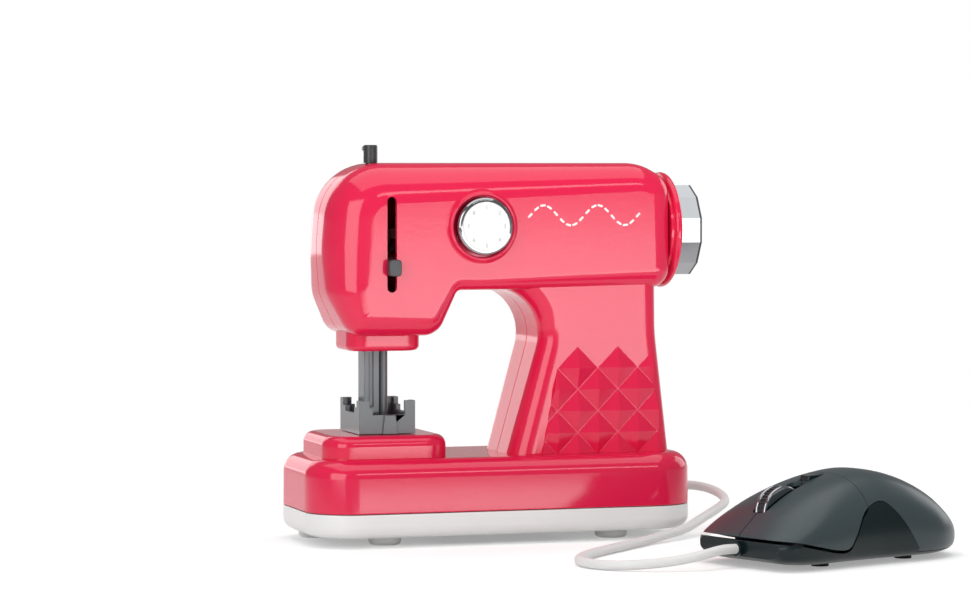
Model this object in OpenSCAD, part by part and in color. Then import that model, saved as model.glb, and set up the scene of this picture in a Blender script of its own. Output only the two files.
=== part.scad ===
// Toy sewing machine with a mouse-shaped hand control on a lead.
// Millimetres, +Z up, front towards -Y, standing on z = 0.

/* [Base] */
// Length of the base, along the arm
base_l = 170; // [160:1:190]
// Depth of the base, front to back
base_w = 73; // [70:1:82]
// Corner radius of the base, seen from above
base_r = 20; // [16:1:24]
// Height of the tray's underside above the table, which is the height of the feet
tray_z = 4.1; // [3.6:0.1:6]
// Height of the joint between tray and cover
joint_z = 14.3; // [13:0.1:17]
// Height of the cover's flat top
cover_z = 36.6; // [35:0.1:40]
// Rounding of the cover's top edge
cover_edge = 7.5; // [5:0.5:9]
// Rounding of the tray's bottom edge
tray_edge = 5; // [3.5:0.5:6]
// Radius of a foot
foot_r = 7; // [5:0.5:8]

/* [Needle bed] */
// Length of the raised bed
bed_l = 54; // [48:1:58]
// Depth of the raised bed
bed_w = 52; // [46:1:56]
// Corner radius of the bed, seen from above
bed_r = 12; // [9:0.5:15]
// Height of the bed above the cover's top
bed_rise = 9.4; // [8:0.1:11]
// Rounding of the bed's top edge
bed_edge = 4.5; // [3:0.5:6]

/* [Body shells] */
// Wall thickness of all shells
wall = 2.2; // [1.8:0.1:2.8]
// Half depth of the head and arm
arm_half = 25; // [24:0.5:27]
// How far the column's faces stand back from the arm's
column_back = 3; // [2:0.5:4]
// Height of the arm's top
arm_top = 160.2; // [157:0.1:164]
// Height of the arm's underside
arm_under = 106.6; // [104:0.1:108]
// Height of the head's underside
head_under = 87.5; // [85:0.1:90]
// How far the head's left end stands in from the base's
head_in = 9.5; // [7:0.5:11]
// How far the arm's right end stands in from the base's
arm_in = 8.5; // [5:0.5:10]
// Radius of the arch between arm and column
arch_r = 20; // [16:1:24]
// Width of one relief diamond
diamond_w = 18.1; // [14:0.1:20]
// Height of one relief diamond
diamond_h = 18.4; // [16:0.2:22]
// How far a diamond stands out
diamond_rise = 2.4; // [1.2:0.2:3]

/* [Needle] */
// Distance of the needle assembly from the base's left end
needle_in = 36.5; // [35:0.5:38]
// Length of the presser foot
foot_l = 24.5; // [20:0.5:27]
// Depth of the presser foot
foot_d = 30; // [26:0.5:33]
// Height of the presser foot's walls
foot_h = 11; // [9:0.5:13]
// Extra height of the corner prongs
prong_h = 3; // [2:0.5:4]
// Wall of the presser foot
foot_wall = 2; // [1.6:0.1:2.4]
// Width of the needle bar
bar_l = 6.7; // [6:0.1:7.5]
// Depth of the needle bar
bar_d = 9.6; // [8:0.2:11]
// Radius of the needle rod
rod_r = 2; // [1.6:0.1:2.2]
// Lift of the needle from lowest to highest
needle_lift = 14; // [12:0.5:15]
// Width of the thread lever's slot
slot_w = 4.2; // [3.8:0.1:5]

/* [Collar] */
// Length of the collar under the head
collar_l = 32; // [29:0.5:35]
// Depth of the collar
collar_d = 30; // [27:0.5:32]
// Corner radius of the collar
collar_r = 8; // [6:0.5:10]
// How far the collar stands below the head
collar_drop = 6.5; // [5:0.5:8]

/* [Shaft and gears] */
// Drop of the main shaft below the arm's top
shaft_drop = 28.9; // [27.7:0.1:30.2]
// Radius of the main shaft
shaft_r = 2; // [1.6:0.1:2.4]
// Radius of the hand wheel
wheel_r = 20; // [17:0.5:22]
// Width of the hand wheel
wheel_w = 10; // [8:0.5:12]
// Flats round the hand wheel
wheel_sides = 12; // [8:1:12]
// Radius of the ring at the end of the arm
ring_r = 25; // [23.5:0.5:26]
// Width of that ring
ring_w = 4.5; // [3.5:0.5:6]
// Gear module, as a share of the arm's half depth
gear_share = 0.026; // [0.024:0.001:0.028]
// Teeth of the large gears
teeth_big = 42; // [40:2:42]
// Teeth of the small gears
teeth_small = 14; // [14:1:15]

/* [Dial and spool pin] */
// Distance of the dial from the needle, along the arm
dial_out = 38.7; // [34.7:0.1:42.7]
// Drop of the dial's centre below the arm's top
dial_drop = 26.7; // [25.2:0.5:28.2]
// Radius of the dial's foot
dial_r = 12.2; // [11:0.1:13]
// Radius of the dial's white cap
dial_cap_r = 10.4; // [9:0.1:10.6]
// Height of the dial
dial_h = 5.5; // [4:0.5:7]
// Distance of the spool pin from the needle, towards the head's end
pin_out = 3; // [1.5:0.5:5.5]
// Radius of the spool pin
pin_r = 3; // [2.4:0.1:3.4]
// How far the spool pin stands above the arm
pin_rise = 7.6; // [6:0.1:10]

/* [Battery bay] */
// Radius of an AA cell
cell_r = 7.25; // [7:0.05:7.4]
// Length of an AA cell
cell_l = 50.5; // [49:0.5:51]
// Thickness of the battery door
door_t = 1.1; // [1:0.1:1.3]

/* [Hand control] */
// X of the control's nose, from the machine's centre
mouse_x = 59; // [57:1:64]
// Y of the control's nose, from the machine's centre
mouse_y = -143.5; // [-146:0.5:-140]
// Turn of the control on the table, in degrees
mouse_turn = 20; // [16:1:24]
// Length of the control
mouse_l = 106; // [102:1:112]
// Width of the control
mouse_w = 60; // [57:1:63]
// Height of the control
mouse_h = 36.4; // [35:0.2:39]
// Wall of the control's shells
mouse_wall = 2; // [1.6:0.1:2.4]
// Radius of the scroll wheel
scroll_r = 11; // [9:0.5:11.5]
// Width of the scroll wheel
scroll_w = 6.4; // [5:0.2:7]
// Length of the mode button
mode_l = 8.5; // [7:0.5:10]
// Width of the mode button
mode_w = 5; // [4:0.5:6]

/* [Lead] */
// Diameter of the lead
cord_d = 4; // [3:0.5:4]

/* [Clearances] */
// Running clearance of a shaft in its hole, on the radius
run_gap = 0.05; // [0.02:0.01:0.08]
// Clearance round a sliding piece
slide_gap = 0.35; // [0.3:0.05:0.5]
// Clearance of a fixed piece in its seat
seat_gap = 0.1; // [0.05:0.05:0.2]
// Gap along the moving edges of the control's buttons
button_gap = 0.5; // [0.4:0.1:0.8]

/* [Hidden] */
$fn = 48;
// Place of the machine's base centre in the part's frame
machine_x = -37.9;
machine_y = 65.6;
overlap = 1;
edge_steps = 4;
face_trim = 0.05;
arc_steps = 5;

// Main lines that follow the base and the arm
column_half = arm_half - column_back;
head_left = head_in - base_l / 2;
arm_right = base_l / 2 - arm_in;
needle_x = needle_in - base_l / 2;
dial_x = needle_x + dial_out;
pin_x = needle_x - pin_out;
shaft_z = arm_top - shaft_drop;
dial_z = arm_top - dial_drop;
column_in = 8.4;
column_foot_l = 71.8;
column_taper = 6;
column_lean = 20;
column_foot_right = base_l / 2 - column_in;
column_foot_left = column_foot_right - column_foot_l;
column_waist = column_foot_right - column_taper;

pink = "#e62e5c";
white = "#f4f4f2";
grey = "#6f757a";
steel = "#c9ccd0";
dark = "#33383b";
charcoal = "#3b494d";

// Screws: shank and head, and the radius of a clearance hole for each
screw_r = 1.3;
screw_head_r = 2.6;
screw_head_h = 1.8;
screw_hole_r = screw_r + 0.3;
screw_sink_r = screw_head_r + 0.3;
boss_r = 3.8;

// Base
bed_x = needle_x - 1.5;
bed_z = cover_z + bed_rise;
tray_floor = tray_z + wall;
screw_front = [base_l / 2 - 19, -base_w / 2 + 16.5];
screw_back = [base_l / 2 - 33, base_w / 2 - 14.5];
base_screw_at = [
    for (s = [-1, 1])
        each [[s * screw_front[0], screw_front[1]], [s * screw_back[0], screw_back[1]]]
];
foot_front = [base_l / 2 - 34.5, -base_w / 2 + 19];
foot_back = [base_l / 2 - 14.5, base_w / 2 - 15.5];
foot_at = [for (s = [-1, 1]) each [[s * foot_front[0], foot_front[1]], [s * foot_back[0], foot_back[1]]]];
base_screw_tip = cover_z - wall - 8;
column_screw_x = column_foot_left + 37.2;
column_screw_y = column_half - wall - boss_r - 2;
column_boss_h = 12;

// Battery bay
cell_pitch = 2 * cell_r + 0.6;
contact_t = 0.5;
contact_bump = 0.7;
contact_bump_r = 2;
contact_half = 5;
contact_rise = 2;
bay_l = cell_l + 2 * (contact_t + contact_bump) + 0.4;
bay_w = 3 * cell_pitch + 0.6;
bay_wall = 1.8;
bay_top = tray_floor + 9;
door_lip = 2.2;
door_l = bay_l + 2 * door_lip;
door_w = bay_w + 2 * door_lip;
door_ear = 8;
door_screw_bite = 7;
door_screw_x = door_l / 2 + door_ear / 2 - 0.4;
cell_z = tray_z + door_t + 0.2 + cell_r;

// Shells: corners are [x, z, radius, edge rounding], counter-clockwise seen from the front
arm_corners = [
    [needle_x - 17, head_under, 10, 9],
    [needle_x + 21, head_under, 9, 8],
    [needle_x + 29, arm_under, 3, 4.5],
    [arm_right, arm_under, 9, 8],
    [arm_right, arm_top - 7.2, 11, 9],
    [arm_right - 12.5, arm_top, 22, 12],
    [head_left + 3, arm_top, 25, 17],
    [head_left, 0.45 * arm_top + 0.55 * head_under + 3, 70, 18],
    [head_left + 1.3, head_under + 17.5, 20, 15],
];
arch_z = arm_under + 0.6;
arm_low = arm_under - 10;
waist_z = cover_z + 51;
// The column's outline runs on below the cover's top, where it is cut off flat
column_run = 14;
column_corners = [
    [column_foot_left - column_run * column_lean / (arch_z - cover_z), cover_z - column_run, 0, 10],
    [column_foot_right + column_run * (column_foot_right - column_waist) / (waist_z - cover_z),
        cover_z - column_run, 0, 6],
    [column_waist, waist_z, 90, 6],
    [column_waist - 0.6, arch_z + 18, 0, 6],
    [column_foot_left - 16, arch_z + 18, 0, 8],
    [column_foot_left - 16, arch_z, 0, 8],
    [column_foot_left + column_lean, arch_z, arch_r, 8],
];
body_screw_at = [
    [needle_x + 20, arm_top - 15.2],
    [needle_x + 14.5, head_under + 11.5],
    [column_foot_left + 17.2, arm_top - 15.2],
    [column_foot_left + 19.2, cover_z + 11],
    [column_foot_right - 10.6, cover_z + 11],
];
body_screw_tip = -arm_half + wall + 4;
body_sink_y = 12;
slot_x = needle_x - 0.7;
slot_low = arm_under - 0.6;
slot_high = slot_low + 40;
collar_top = head_under + 3.5;
spool_low = arm_top - 10;
pin_stub_r = pin_r - 0.8;
pin_bevel = 0.6;
relief_low = cover_z;
relief_rows = 4;
relief_x = column_foot_left + 29.1;
relief_z = cover_z + 2 * diamond_h - 0.4;

// Needle train
foot_z = bed_z + 0.2;
bar_x = needle_x - 3.85;
needle_rod_x = needle_x + 1.9;
needle_rod_y = -1.5;
crank_r = needle_lift / 2;
crank_disc_r = crank_r + 3.5;
crank_disc_t = 3.5;
crank_x = needle_x + 14;
crank_pin_r = 2;
// The constant ratio of turn to lift leaves the true crank by 0.21 of its radius
yoke_play = 0.21 * crank_r + 0.4;
yoke_slot_h = 2 * (crank_pin_r + yoke_play);
yoke_slot_w = 2 * (crank_r + crank_pin_r + 1);
yoke_t = 3;
yoke_x = crank_x - crank_disc_t - 2 - yoke_t;
yoke_rim = 4;
yoke_z = shaft_z - crank_r;
yoke_low = yoke_z - yoke_slot_h / 2 - yoke_rim;
lever_z = arm_under + 9.8;
lever_r = slot_w / 2 - 0.5;
lever_knob_gap = 1.2;
lever_knob = [5.5, 4, 7];
bridge_h = 6;
bar_groove_end = 8;
bridge_z = lever_z - bridge_h / 2;

// Gears, shafts and bushes
backlash = 0.15;
gear_module = gear_share * arm_half;
pitch_big = gear_module * teeth_big / 2;
pitch_small = gear_module * teeth_small / 2;
gear_step = pitch_big + pitch_small;
idler_z = shaft_z - gear_step;
motor_z = idler_z - gear_step;
gear_w = 4;
plate_t = 2;
plate_left = column_waist - 22.6;
gear_first_x = plate_left + plate_t + 1;
gear_second_x = gear_first_x + gear_w + 2;
plate_right = gear_second_x + gear_w + 3;
plate_low = motor_z - 9.5;
plate_high = shaft_z + 10.5;
frame_gap = 1.35;
plate_back = column_half - wall - plate_t - frame_gap;
plate_front = -pitch_big;
idler_pin_r = 1.5;
motor_shaft_r = 1;
motor_r = 10;
motor_flat = 15;
motor_l = 25;
motor_bore = 8;
gear_screw_x = (plate_left + plate_right + plate_t) / 2;
gear_screw_z = [plate_low + 4, plate_high - 4];
bush_r = 5;
bush_l = 6;
bush_x = crank_x + 5;
ring_x = arm_right;
// How far the flats' corners stand over the wheel's round, which trims them
wheel_crown = 0.24;
wheel_x = ring_x + ring_w + 0.5;
wheel_bore_l = 9;

// Dial
bezel_in = dial_r + 0.7;
bezel_out = bezel_in + 1.8;
bezel_h = 2.2;
dial_shaft_r = 2.5;
dial_gap = 0.3;
dial_cap_t = 0.8;
clip_r = 4.5;
clip_t = 1.5;
dial_tail = 3.5;

// Hand control: sections [share of length, half width, top, bottom] as shares and heights
mouse_belt = 9;
mouse_lift = 1.5;
mouse_sections = [
    [0, 0.78, 0.36, 4.6],
    [0.04, 0.92, 0.46, 2.8],
    [0.11, 0.98, 0.62, 1.8],
    [0.22, 1, 0.79, mouse_lift],
    [0.35, 0.97, 0.92, mouse_lift],
    [0.48, 0.95, 0.99, mouse_lift],
    [0.58, 0.96, 1, mouse_lift],
    [0.7, 0.98, 0.93, mouse_lift],
    [0.81, 0.94, 0.79, mouse_lift],
    [0.9, 0.8, 0.6, 2],
    [0.96, 0.6, 0.44, 3],
    [0.99, 0.38, 0.35, 4.6],
    [1, 0.2, 0.3, 6],
];
mouse_sides = 28;
keel_fill = 1.07;
// Edge between the upper and the lower shell, seen from the side
mouse_wave = [
    [-6, 12.6], [5, 11.8], [14, 10], [25, 7.8], [32, 7.9], [36, 12.2], [42, 20.5], [49, 24.5],
    [55, 25], [59.5, 21.5], [64, 16], [68, 10], [71, 5.6], [75, 4], [112, 4],
];
button_end = 46;
button_swing = 1.1;
button_drop = button_end * sin(button_swing) + 0.4;
scroll_s = 21.5;
scroll_rise = 3.6;
scroll_z = mouse_top(scroll_s) + scroll_rise - scroll_r;
scroll_axle_r = 1.5;
scroll_post_l = 8;
scroll_post_t = 2.4;
scroll_post_over = 0.7;
scroll_post_y = scroll_w / 2 + 0.6;
scroll_slot = scroll_w + 1.6;
mode_s = 38.6;
mode_rise = 1;
mode_travel = 0.8;
mode_z = mouse_top(mode_s);
board_z = mouse_lift + mouse_wall + 1.6;
board_t = 1.6;
board_l = 40;
board_w = 38;
board_s = 30;
switch_at = [[16, 14], [16, -14]];
switch_h = 4.5;
plunger_r = 1.5;
plunger_gap = 0.9;
mouse_screw_at = [[62, 12], [62, -12]];
mouse_seat = 1.6;
mouse_screw_l = 14;
mouse_foot_r = 3.5;
mouse_foot_at = [[30, 14.5], [30, -14.5], [76, 14.5], [76, -14.5]];
gland_r = 2.9;
gland_z = 7.6;
gland_out = 2;

// Lead: hand-picked points from the base to the control, about the machine's centre
cord_y = 6;
cord_z = 19;
grommet_r = 4.6;
grommet_neck = 3.2;
grommet_nose = 7;
cord_sides = 8;
cord_picked = [
    [92, 6, 19], [98, 6.2, 18.6], [103.5, 4.5, 17.5], [107, 0.8, 15.8], [108, -4, 14], [106.5, -8.6, 12.4],
    [103, -12.6, 11], [98, -17, 9.4], [93, -21.2, 8], [85.8, -28.2, 6.2], [78, -36, 4.6], [66, -45.5, 3.2],
    [55, -54.5, 2.4], [42, -67, 2.1], [32, -77, 2.1], [22, -87, 2.1], [13.5, -96.5, 2.1], [6, -107, 2.1],
    [1.6, -116, 2.1], [0.8, -126, 2.1], [5, -136, 2.1], [14, -143.4, 2.6], [28, -148.6, 4],
    [40, -149.6, 6], [50.5, -146.6, 7.6], [57.1, -144.2, 7.6],
];
// Both ends go with the base and the control, and the points between them share out the shift
cord_from = [base_l / 2 + grommet_nose, cord_y, cord_z] - cord_picked[0];
cord_to = [
    mouse_x - gland_out * cos(mouse_turn), mouse_y - gland_out * sin(mouse_turn), gland_z
] - cord_picked[len(cord_picked) - 1];
cord_route = [for (i = [0 : len(cord_picked) - 1])
    let (t = i / (len(cord_picked) - 1))
    cord_picked[i] + cord_from * (1 - t) + cord_to * t];

// Plane geometry
function unit(v) = v / norm(v);
function wrap(a) = a > 180 ? a - 360 : a < -180 ? a + 360 : a;
function flat(p) = [p[0], p[1]];

// One corner [x, y, radius, edge] as arc points that carry its edge rounding
function corner_points(a, b, c, steps) =
    b[2] == 0 ? [[b[0], b[1], b[3]]] :
    let (p = flat(b), u = unit(flat(a) - p), v = unit(flat(c) - p))
    let (half = acos(u * v) / 2, centre = p + unit(u + v) * b[2] / sin(half))
    let (from = p + u * b[2] / tan(half) - centre, to = p + v * b[2] / tan(half) - centre)
    let (start = atan2(from[1], from[0]), turn = wrap(atan2(to[1], to[0]) - start))
    [for (k = [0 : steps])
        let (t = start + turn * k / steps)
        [centre[0] + b[2] * cos(t), centre[1] + b[2] * sin(t), b[3]]];

function outline(corners, steps) =
    let (n = len(corners))
    [for (i = [0 : n - 1])
        each corner_points(corners[(i + n - 1) % n], corners[i], corners[(i + 1) % n], steps)];

// Inward normal of a counter-clockwise outline, long enough to keep an inset edge parallel
function inward(pts, i) =
    let (n = len(pts), p = flat(pts[i]))
    let (u = unit(p - flat(pts[(i + n - 1) % n])), v = unit(flat(pts[(i + 1) % n]) - p))
    let (t = unit(u + v))
    [-t[1], t[0]] / (t * v);

function box_outline(l, w, r) =
    outline([[-l / 2, -w / 2, r, 0], [l / 2, -w / 2, r, 0], [l / 2, w / 2, r, 0], [-l / 2, w / 2, r, 0]],
        arc_steps);

function plan_ring(pts, inset, z) =
    [for (i = [0 : len(pts) - 1]) let (n = inward(pts, i))
        [pts[i][0] + n[0] * inset, pts[i][1] + n[1] * inset, z]];

// Rings of a box from z0 to z1 whose top edge is rounded
function crowned_rings(pts, inset, z0, z1, edge) =
    concat([plan_ring(pts, inset, z0)],
        [for (k = [0 : edge_steps]) let (t = 90 * k / edge_steps)
            plan_ring(pts, inset + edge * (1 - cos(t)), z1 - edge * (1 - sin(t)))]);

// Rings of a box from z0 to z1 whose bottom edge is rounded
function keeled_rings(pts, inset, z0, z1, edge) =
    concat([for (k = [0 : edge_steps]) let (t = 90 - 90 * k / edge_steps)
            plan_ring(pts, inset + edge * (1 - cos(t)), z0 + edge * (1 - sin(t)))],
        [plan_ring(pts, inset, z1)]);

// One ring of a half shell: the outline drawn in as its edge rounds over towards the face
function shell_ring(pts, inset, turn, half, side) =
    [for (i = [0 : len(pts) - 1])
        let (n = inward(pts, i), edge = max(pts[i][2] - inset, 0.5), d = inset + edge * (1 - cos(turn)))
        [pts[i][0] + n[0] * d, side * (half - inset - edge * (1 - sin(turn))), pts[i][1] + n[1] * d]];

function split_ring(pts, inset, side, past) =
    [for (i = [0 : len(pts) - 1]) let (n = inward(pts, i))
        [pts[i][0] + n[0] * inset, -side * past, pts[i][1] + n[1] * inset]];

function half_rings(pts, inset, half, side, past) =
    concat([split_ring(pts, inset, side, past)],
        [for (k = [0 : edge_steps]) shell_ring(pts, inset, 90 * k / edge_steps, half, side)]);

// Closed solid over a list of rings with the same number of points
module loft(rings, flip = false) {
    n = len(rings[0]);
    last = (len(rings) - 1) * n;
    sides = [for (j = [0 : len(rings) - 2]) for (i = [0 : n - 1])
        let (a = j * n + i, b = j * n + (i + 1) % n)
        each [[a, a + n, b + n], [a, b + n, b]]];
    ends = [[for (i = [0 : n - 1]) i], [for (i = [n - 1 : -1 : 0]) last + i]];
    faces = concat(sides, ends);
    polyhedron([for (r = rings) each r],
        flip ? [for (f = faces) [for (k = [len(f) - 1 : -1 : 0]) f[k]]] : faces);
}

module at_machine() {
    translate([machine_x, machine_y, 0])
        children();
}

module at_mouse() {
    at_machine()
        translate([mouse_x, mouse_y, 0])
            rotate(mouse_turn)
                children();
}

// Cylinder along X or Y from its low end
module rod_x(x, y, z, r, l) {
    translate([x, y, z])
        rotate([0, 90, 0])
            cylinder(r = r, h = l);
}

module rod_y(x, y, z, r, l) {
    translate([x, y, z])
        rotate([-90, 0, 0])
            cylinder(r = r, h = l);
}

// Flat plate with round corners, centred, standing on z = 0
module round_plate(l, w, r, h) {
    linear_extrude(h) {
        square([l - 2 * r, w], center = true);
        square([l, w - 2 * r], center = true);
        for (x = [-1, 1], y = [-1, 1])
            translate([x * (l / 2 - r), y * (w / 2 - r)])
                circle(r);
    }
}

module block(x0, x1, y0, y1, z0, z1) {
    translate([x0, y0, z0])
        cube([x1 - x0, y1 - y0, z1 - z0]);
}

// Screw with its head at z = 0 and its shank up to the tip
module screw(length) {
    cylinder(r = screw_head_r, h = screw_head_h);
    cylinder(r = screw_r, h = length);
}

// Base
module base_tray() {
    pts = box_outline(base_l, base_w, base_r);
    color(white) at_machine() difference() {
        union() {
            difference() {
                loft(keeled_rings(pts, 0, tray_z, joint_z, tray_edge));
                loft(keeled_rings(pts, wall, tray_floor, joint_z + overlap, tray_edge - wall));
            }
            for (p = base_screw_at)
                translate([p[0], p[1], tray_z + wall / 2])
                    cylinder(r = boss_r, h = joint_z - tray_z - wall / 2);
            battery_bay();
        }
        for (p = base_screw_at)
            translate([p[0], p[1], tray_z - overlap]) {
                cylinder(r = screw_hole_r, h = joint_z);
                cylinder(r = screw_sink_r, h = screw_head_h + wall + overlap);
            }
        battery_opening();
    }
}

// Walls round the cells and the boss of the door's screw
module battery_bay() {
    difference() {
        block(-bay_l / 2 - bay_wall, bay_l / 2 + bay_wall, -bay_w / 2 - bay_wall, bay_w / 2 + bay_wall,
            tray_z + wall / 2, bay_top);
        block(-bay_l / 2, bay_l / 2, -bay_w / 2, bay_w / 2, tray_z, bay_top + overlap);
    }
    translate([door_screw_x, 0, tray_z + wall / 2])
        cylinder(r = boss_r, h = bay_top - tray_z - wall / 2);
}

module battery_opening() {
    block(-bay_l / 2, bay_l / 2, -bay_w / 2, bay_w / 2, tray_z - overlap, tray_floor + overlap);
    translate([0, 0, tray_z - overlap]) {
        door_plan(seat_gap, door_t + overlap);
        translate([door_screw_x, 0, 0])
            cylinder(r = screw_r + run_gap, h = bay_top - tray_z - 1);
    }
}

module door_plan(gap, h) {
    block(-door_l / 2 - gap, door_l / 2 + gap, -door_w / 2 - gap, door_w / 2 + gap, 0, h);
    block(0, door_l / 2 + door_ear + gap, -door_ear - gap, door_ear + gap, 0, h);
}

module battery_door() {
    color(white) at_machine() translate([0, 0, tray_z]) difference() {
        door_plan(0, door_t);
        translate([door_screw_x, 0, -overlap])
            cylinder(r = screw_hole_r, h = door_t + 2 * overlap);
    }
}

module door_screw() {
    color(steel) at_machine() translate([door_screw_x, 0, tray_z - screw_head_h])
        screw(screw_head_h + door_t + door_screw_bite);
}

module batteries() {
    color("#7a8f6a") at_machine() for (k = [-1 : 1])
        rotate(k == 0 ? 180 : 0) {
            rod_x(-cell_l / 2, k * cell_pitch, cell_z, cell_r, cell_l - 1.2);
            rod_x(-cell_l / 2, k * cell_pitch, cell_z, 2.6, cell_l);
        }
}

module battery_contacts() {
    color(steel) at_machine() for (k = [-1 : 1], s = [-1, 1]) {
        x = s * (bay_l / 2 - contact_t / 2);
        block(x - contact_t / 2, x + contact_t / 2,
            k * cell_pitch - contact_half, k * cell_pitch + contact_half, tray_floor, bay_top + contact_rise);
        rod_x(x - contact_t / 2 - (s > 0 ? contact_bump : 0), k * cell_pitch, cell_z, contact_bump_r,
            contact_t + contact_bump);
    }
}

module base_cover() {
    pts = box_outline(base_l, base_w, base_r);
    bed = box_outline(bed_l, bed_w, bed_r);
    color(pink) at_machine() difference() {
        union() {
            difference() {
                union() {
                    loft(crowned_rings(pts, 0, joint_z, cover_z, cover_edge));
                    translate([bed_x, 0, 0])
                        loft(crowned_rings(bed, 0, cover_z - wall, bed_z, bed_edge));
                }
                loft(crowned_rings(pts, wall, joint_z - overlap, cover_z - wall, cover_edge - wall));
                translate([bed_x, 0, 0])
                    loft(crowned_rings(bed, wall, cover_z - wall - overlap, bed_z - wall, bed_edge - wall));
            }
            intersection() {
                for (p = base_screw_at)
                    translate([p[0], p[1], joint_z])
                        cylinder(r = boss_r, h = bed_z - joint_z);
                union() {
                    loft(crowned_rings(pts, wall / 2, joint_z - overlap,
                        cover_z - wall / 2, cover_edge - wall / 2));
                    translate([bed_x, 0, 0])
                        loft(crowned_rings(bed, wall / 2, cover_z - 2 * wall,
                            bed_z - wall / 2, bed_edge - wall / 2));
                }
            }
        }
        for (p = base_screw_at)
            translate([p[0], p[1], joint_z - overlap])
                cylinder(r = screw_r + run_gap, h = base_screw_tip + overlap - joint_z + 1);
        for (s = [-1, 1])
            translate([column_screw_x, s * column_screw_y, cover_z - wall - overlap])
                cylinder(r = screw_hole_r, h = wall + 2 * overlap);
        rod_x(base_l / 2 - 2 * wall, cord_y, cord_z, grommet_neck + seat_gap, 4 * wall);
    }
}

module base_feet() {
    color("#e6e6e2") at_machine() for (p = foot_at)
        translate([p[0], p[1], 0]) {
            cylinder(r1 = foot_r - 1, r2 = foot_r, h = 1.2);
            translate([0, 0, 1.2])
                cylinder(r = foot_r, h = tray_z - 1.2);
        }
}

module base_screws() {
    color(steel) at_machine() for (p = base_screw_at)
        translate([p[0], p[1], tray_z + wall])
            screw(base_screw_tip - tray_z - wall);
}

module column_screws() {
    color(steel) at_machine() for (s = [-1, 1])
        translate([column_screw_x, s * column_screw_y, cover_z - wall - screw_head_h])
            screw(screw_head_h + wall + column_boss_h - 3);
}

// Body shells
function arm_points() = outline(arm_corners, arc_steps);
function column_points() = outline(column_corners, arc_steps);

// Outside of one half of arm, head and column; side is -1 for the front, 1 for the rear.
// Each solid runs a different way past the split, where the half is cut off
module body_half(side) {
    half_solid(arm_points(), 0, arm_half, side, overlap);
    half_solid(column_points(), 0, column_half, side, 2 * overlap);
}

// Half a rounded solid, cut off flat a little short of its last ring
module half_solid(pts, inset, half, side, past) {
    difference() {
        loft(half_rings(pts, inset, half + face_trim, side, past), side > 0);
        block(-base_l, base_l, side > 0 ? half - inset : -2 * half, side > 0 ? 2 * half : inset - half,
            0, 2 * arm_top);
    }
}

module body_hollow(side) {
    half_solid(arm_points(), wall, arm_half, side, 3 * overlap);
    half_solid(column_points(), wall, column_half, side, 4 * overlap);
    block(-base_l, base_l, -base_w, base_w, 0, cover_z);
    block(-base_l, base_l, side > 0 ? -base_w : 0, side > 0 ? 0 : base_w, 0, 2 * arm_top);
}

// Bosses, bearing ribs and openings that both halves share
module body_fittings(side) {
    reach = arm_half - wall / 2;
    for (p = body_screw_at)
        rod_y(p[0], side > 0 ? 0 : -min(reach, p[1] > arm_low ? reach : column_half - wall / 2), p[1],
            boss_r, p[1] > arm_low ? reach : column_half - wall / 2);
    block(bush_x, bush_x + bush_l - 1, side > 0 ? 0 : -reach, side > 0 ? reach : 0,
        shaft_z - 11, shaft_z + 11);
    translate([column_screw_x, side * column_screw_y, cover_z])
        cylinder(r = boss_r, h = column_boss_h);
    block(column_screw_x - 1, column_screw_x + 1,
        side > 0 ? column_screw_y : -column_half + wall / 2,
        side > 0 ? column_half - wall / 2 : -column_screw_y,
        cover_z, cover_z + column_boss_h);
}

module body_openings(side) {
    rod_x(bush_x - overlap, 0, shaft_z, bush_r + run_gap, bush_l + 2 * overlap);
    rod_x(arm_right - 2 * wall, 0, shaft_z, bush_r + run_gap, 3 * wall);
    translate([pin_x, 0, spool_low - overlap])
        cylinder(r = pin_stub_r + run_gap, h = arm_top - spool_low + 2 * overlap);
    translate([needle_x, 0, head_under - overlap])
        round_plate(collar_l + 2 * seat_gap, collar_d + 2 * seat_gap, collar_r + seat_gap,
            collar_top - head_under + overlap + seat_gap);
    translate([column_screw_x, side * column_screw_y, cover_z - overlap])
        cylinder(r = screw_r + run_gap, h = column_boss_h);
}

// Raised diamonds on the column's face, cut off at its edges
module relief() {
    intersection() {
        for (row = [0 : relief_rows], col = [-1 : 2])
            translate([
                relief_x + (col + (row % 2) / 2) * diamond_w,
                -column_half,
                relief_z - row * diamond_h / 2
            ])
                diamond();
        rotate([90, 0, 0])
            linear_extrude(arm_half + 2 * diamond_rise)
                polygon([
                    [column_foot_left + 13, relief_low],
                    [column_foot_right - 4.6, relief_low],
                    [column_waist - 4.2, waist_z],
                    [column_foot_left + column_lean + 2.8, waist_z],
                ]);
    }
}

module diamond() {
    w = diamond_w / 2 - seat_gap;
    h = diamond_h / 2 - seat_gap;
    rim = [[w, 0], [0, h], [-w, 0], [0, -h]];
    polyhedron(
        [for (p = rim) [p[0], overlap, p[1]], for (p = rim) [p[0], 0, p[1]], [0, -diamond_rise, 0]],
        [
            [0, 1, 2, 3],
            for (k = [0 : 3]) each let (m = (k + 1) % 4)
                [[k, k + 4, m + 4], [k, m + 4, m], [k + 4, 8, m + 4]]
        ]);
}

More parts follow.
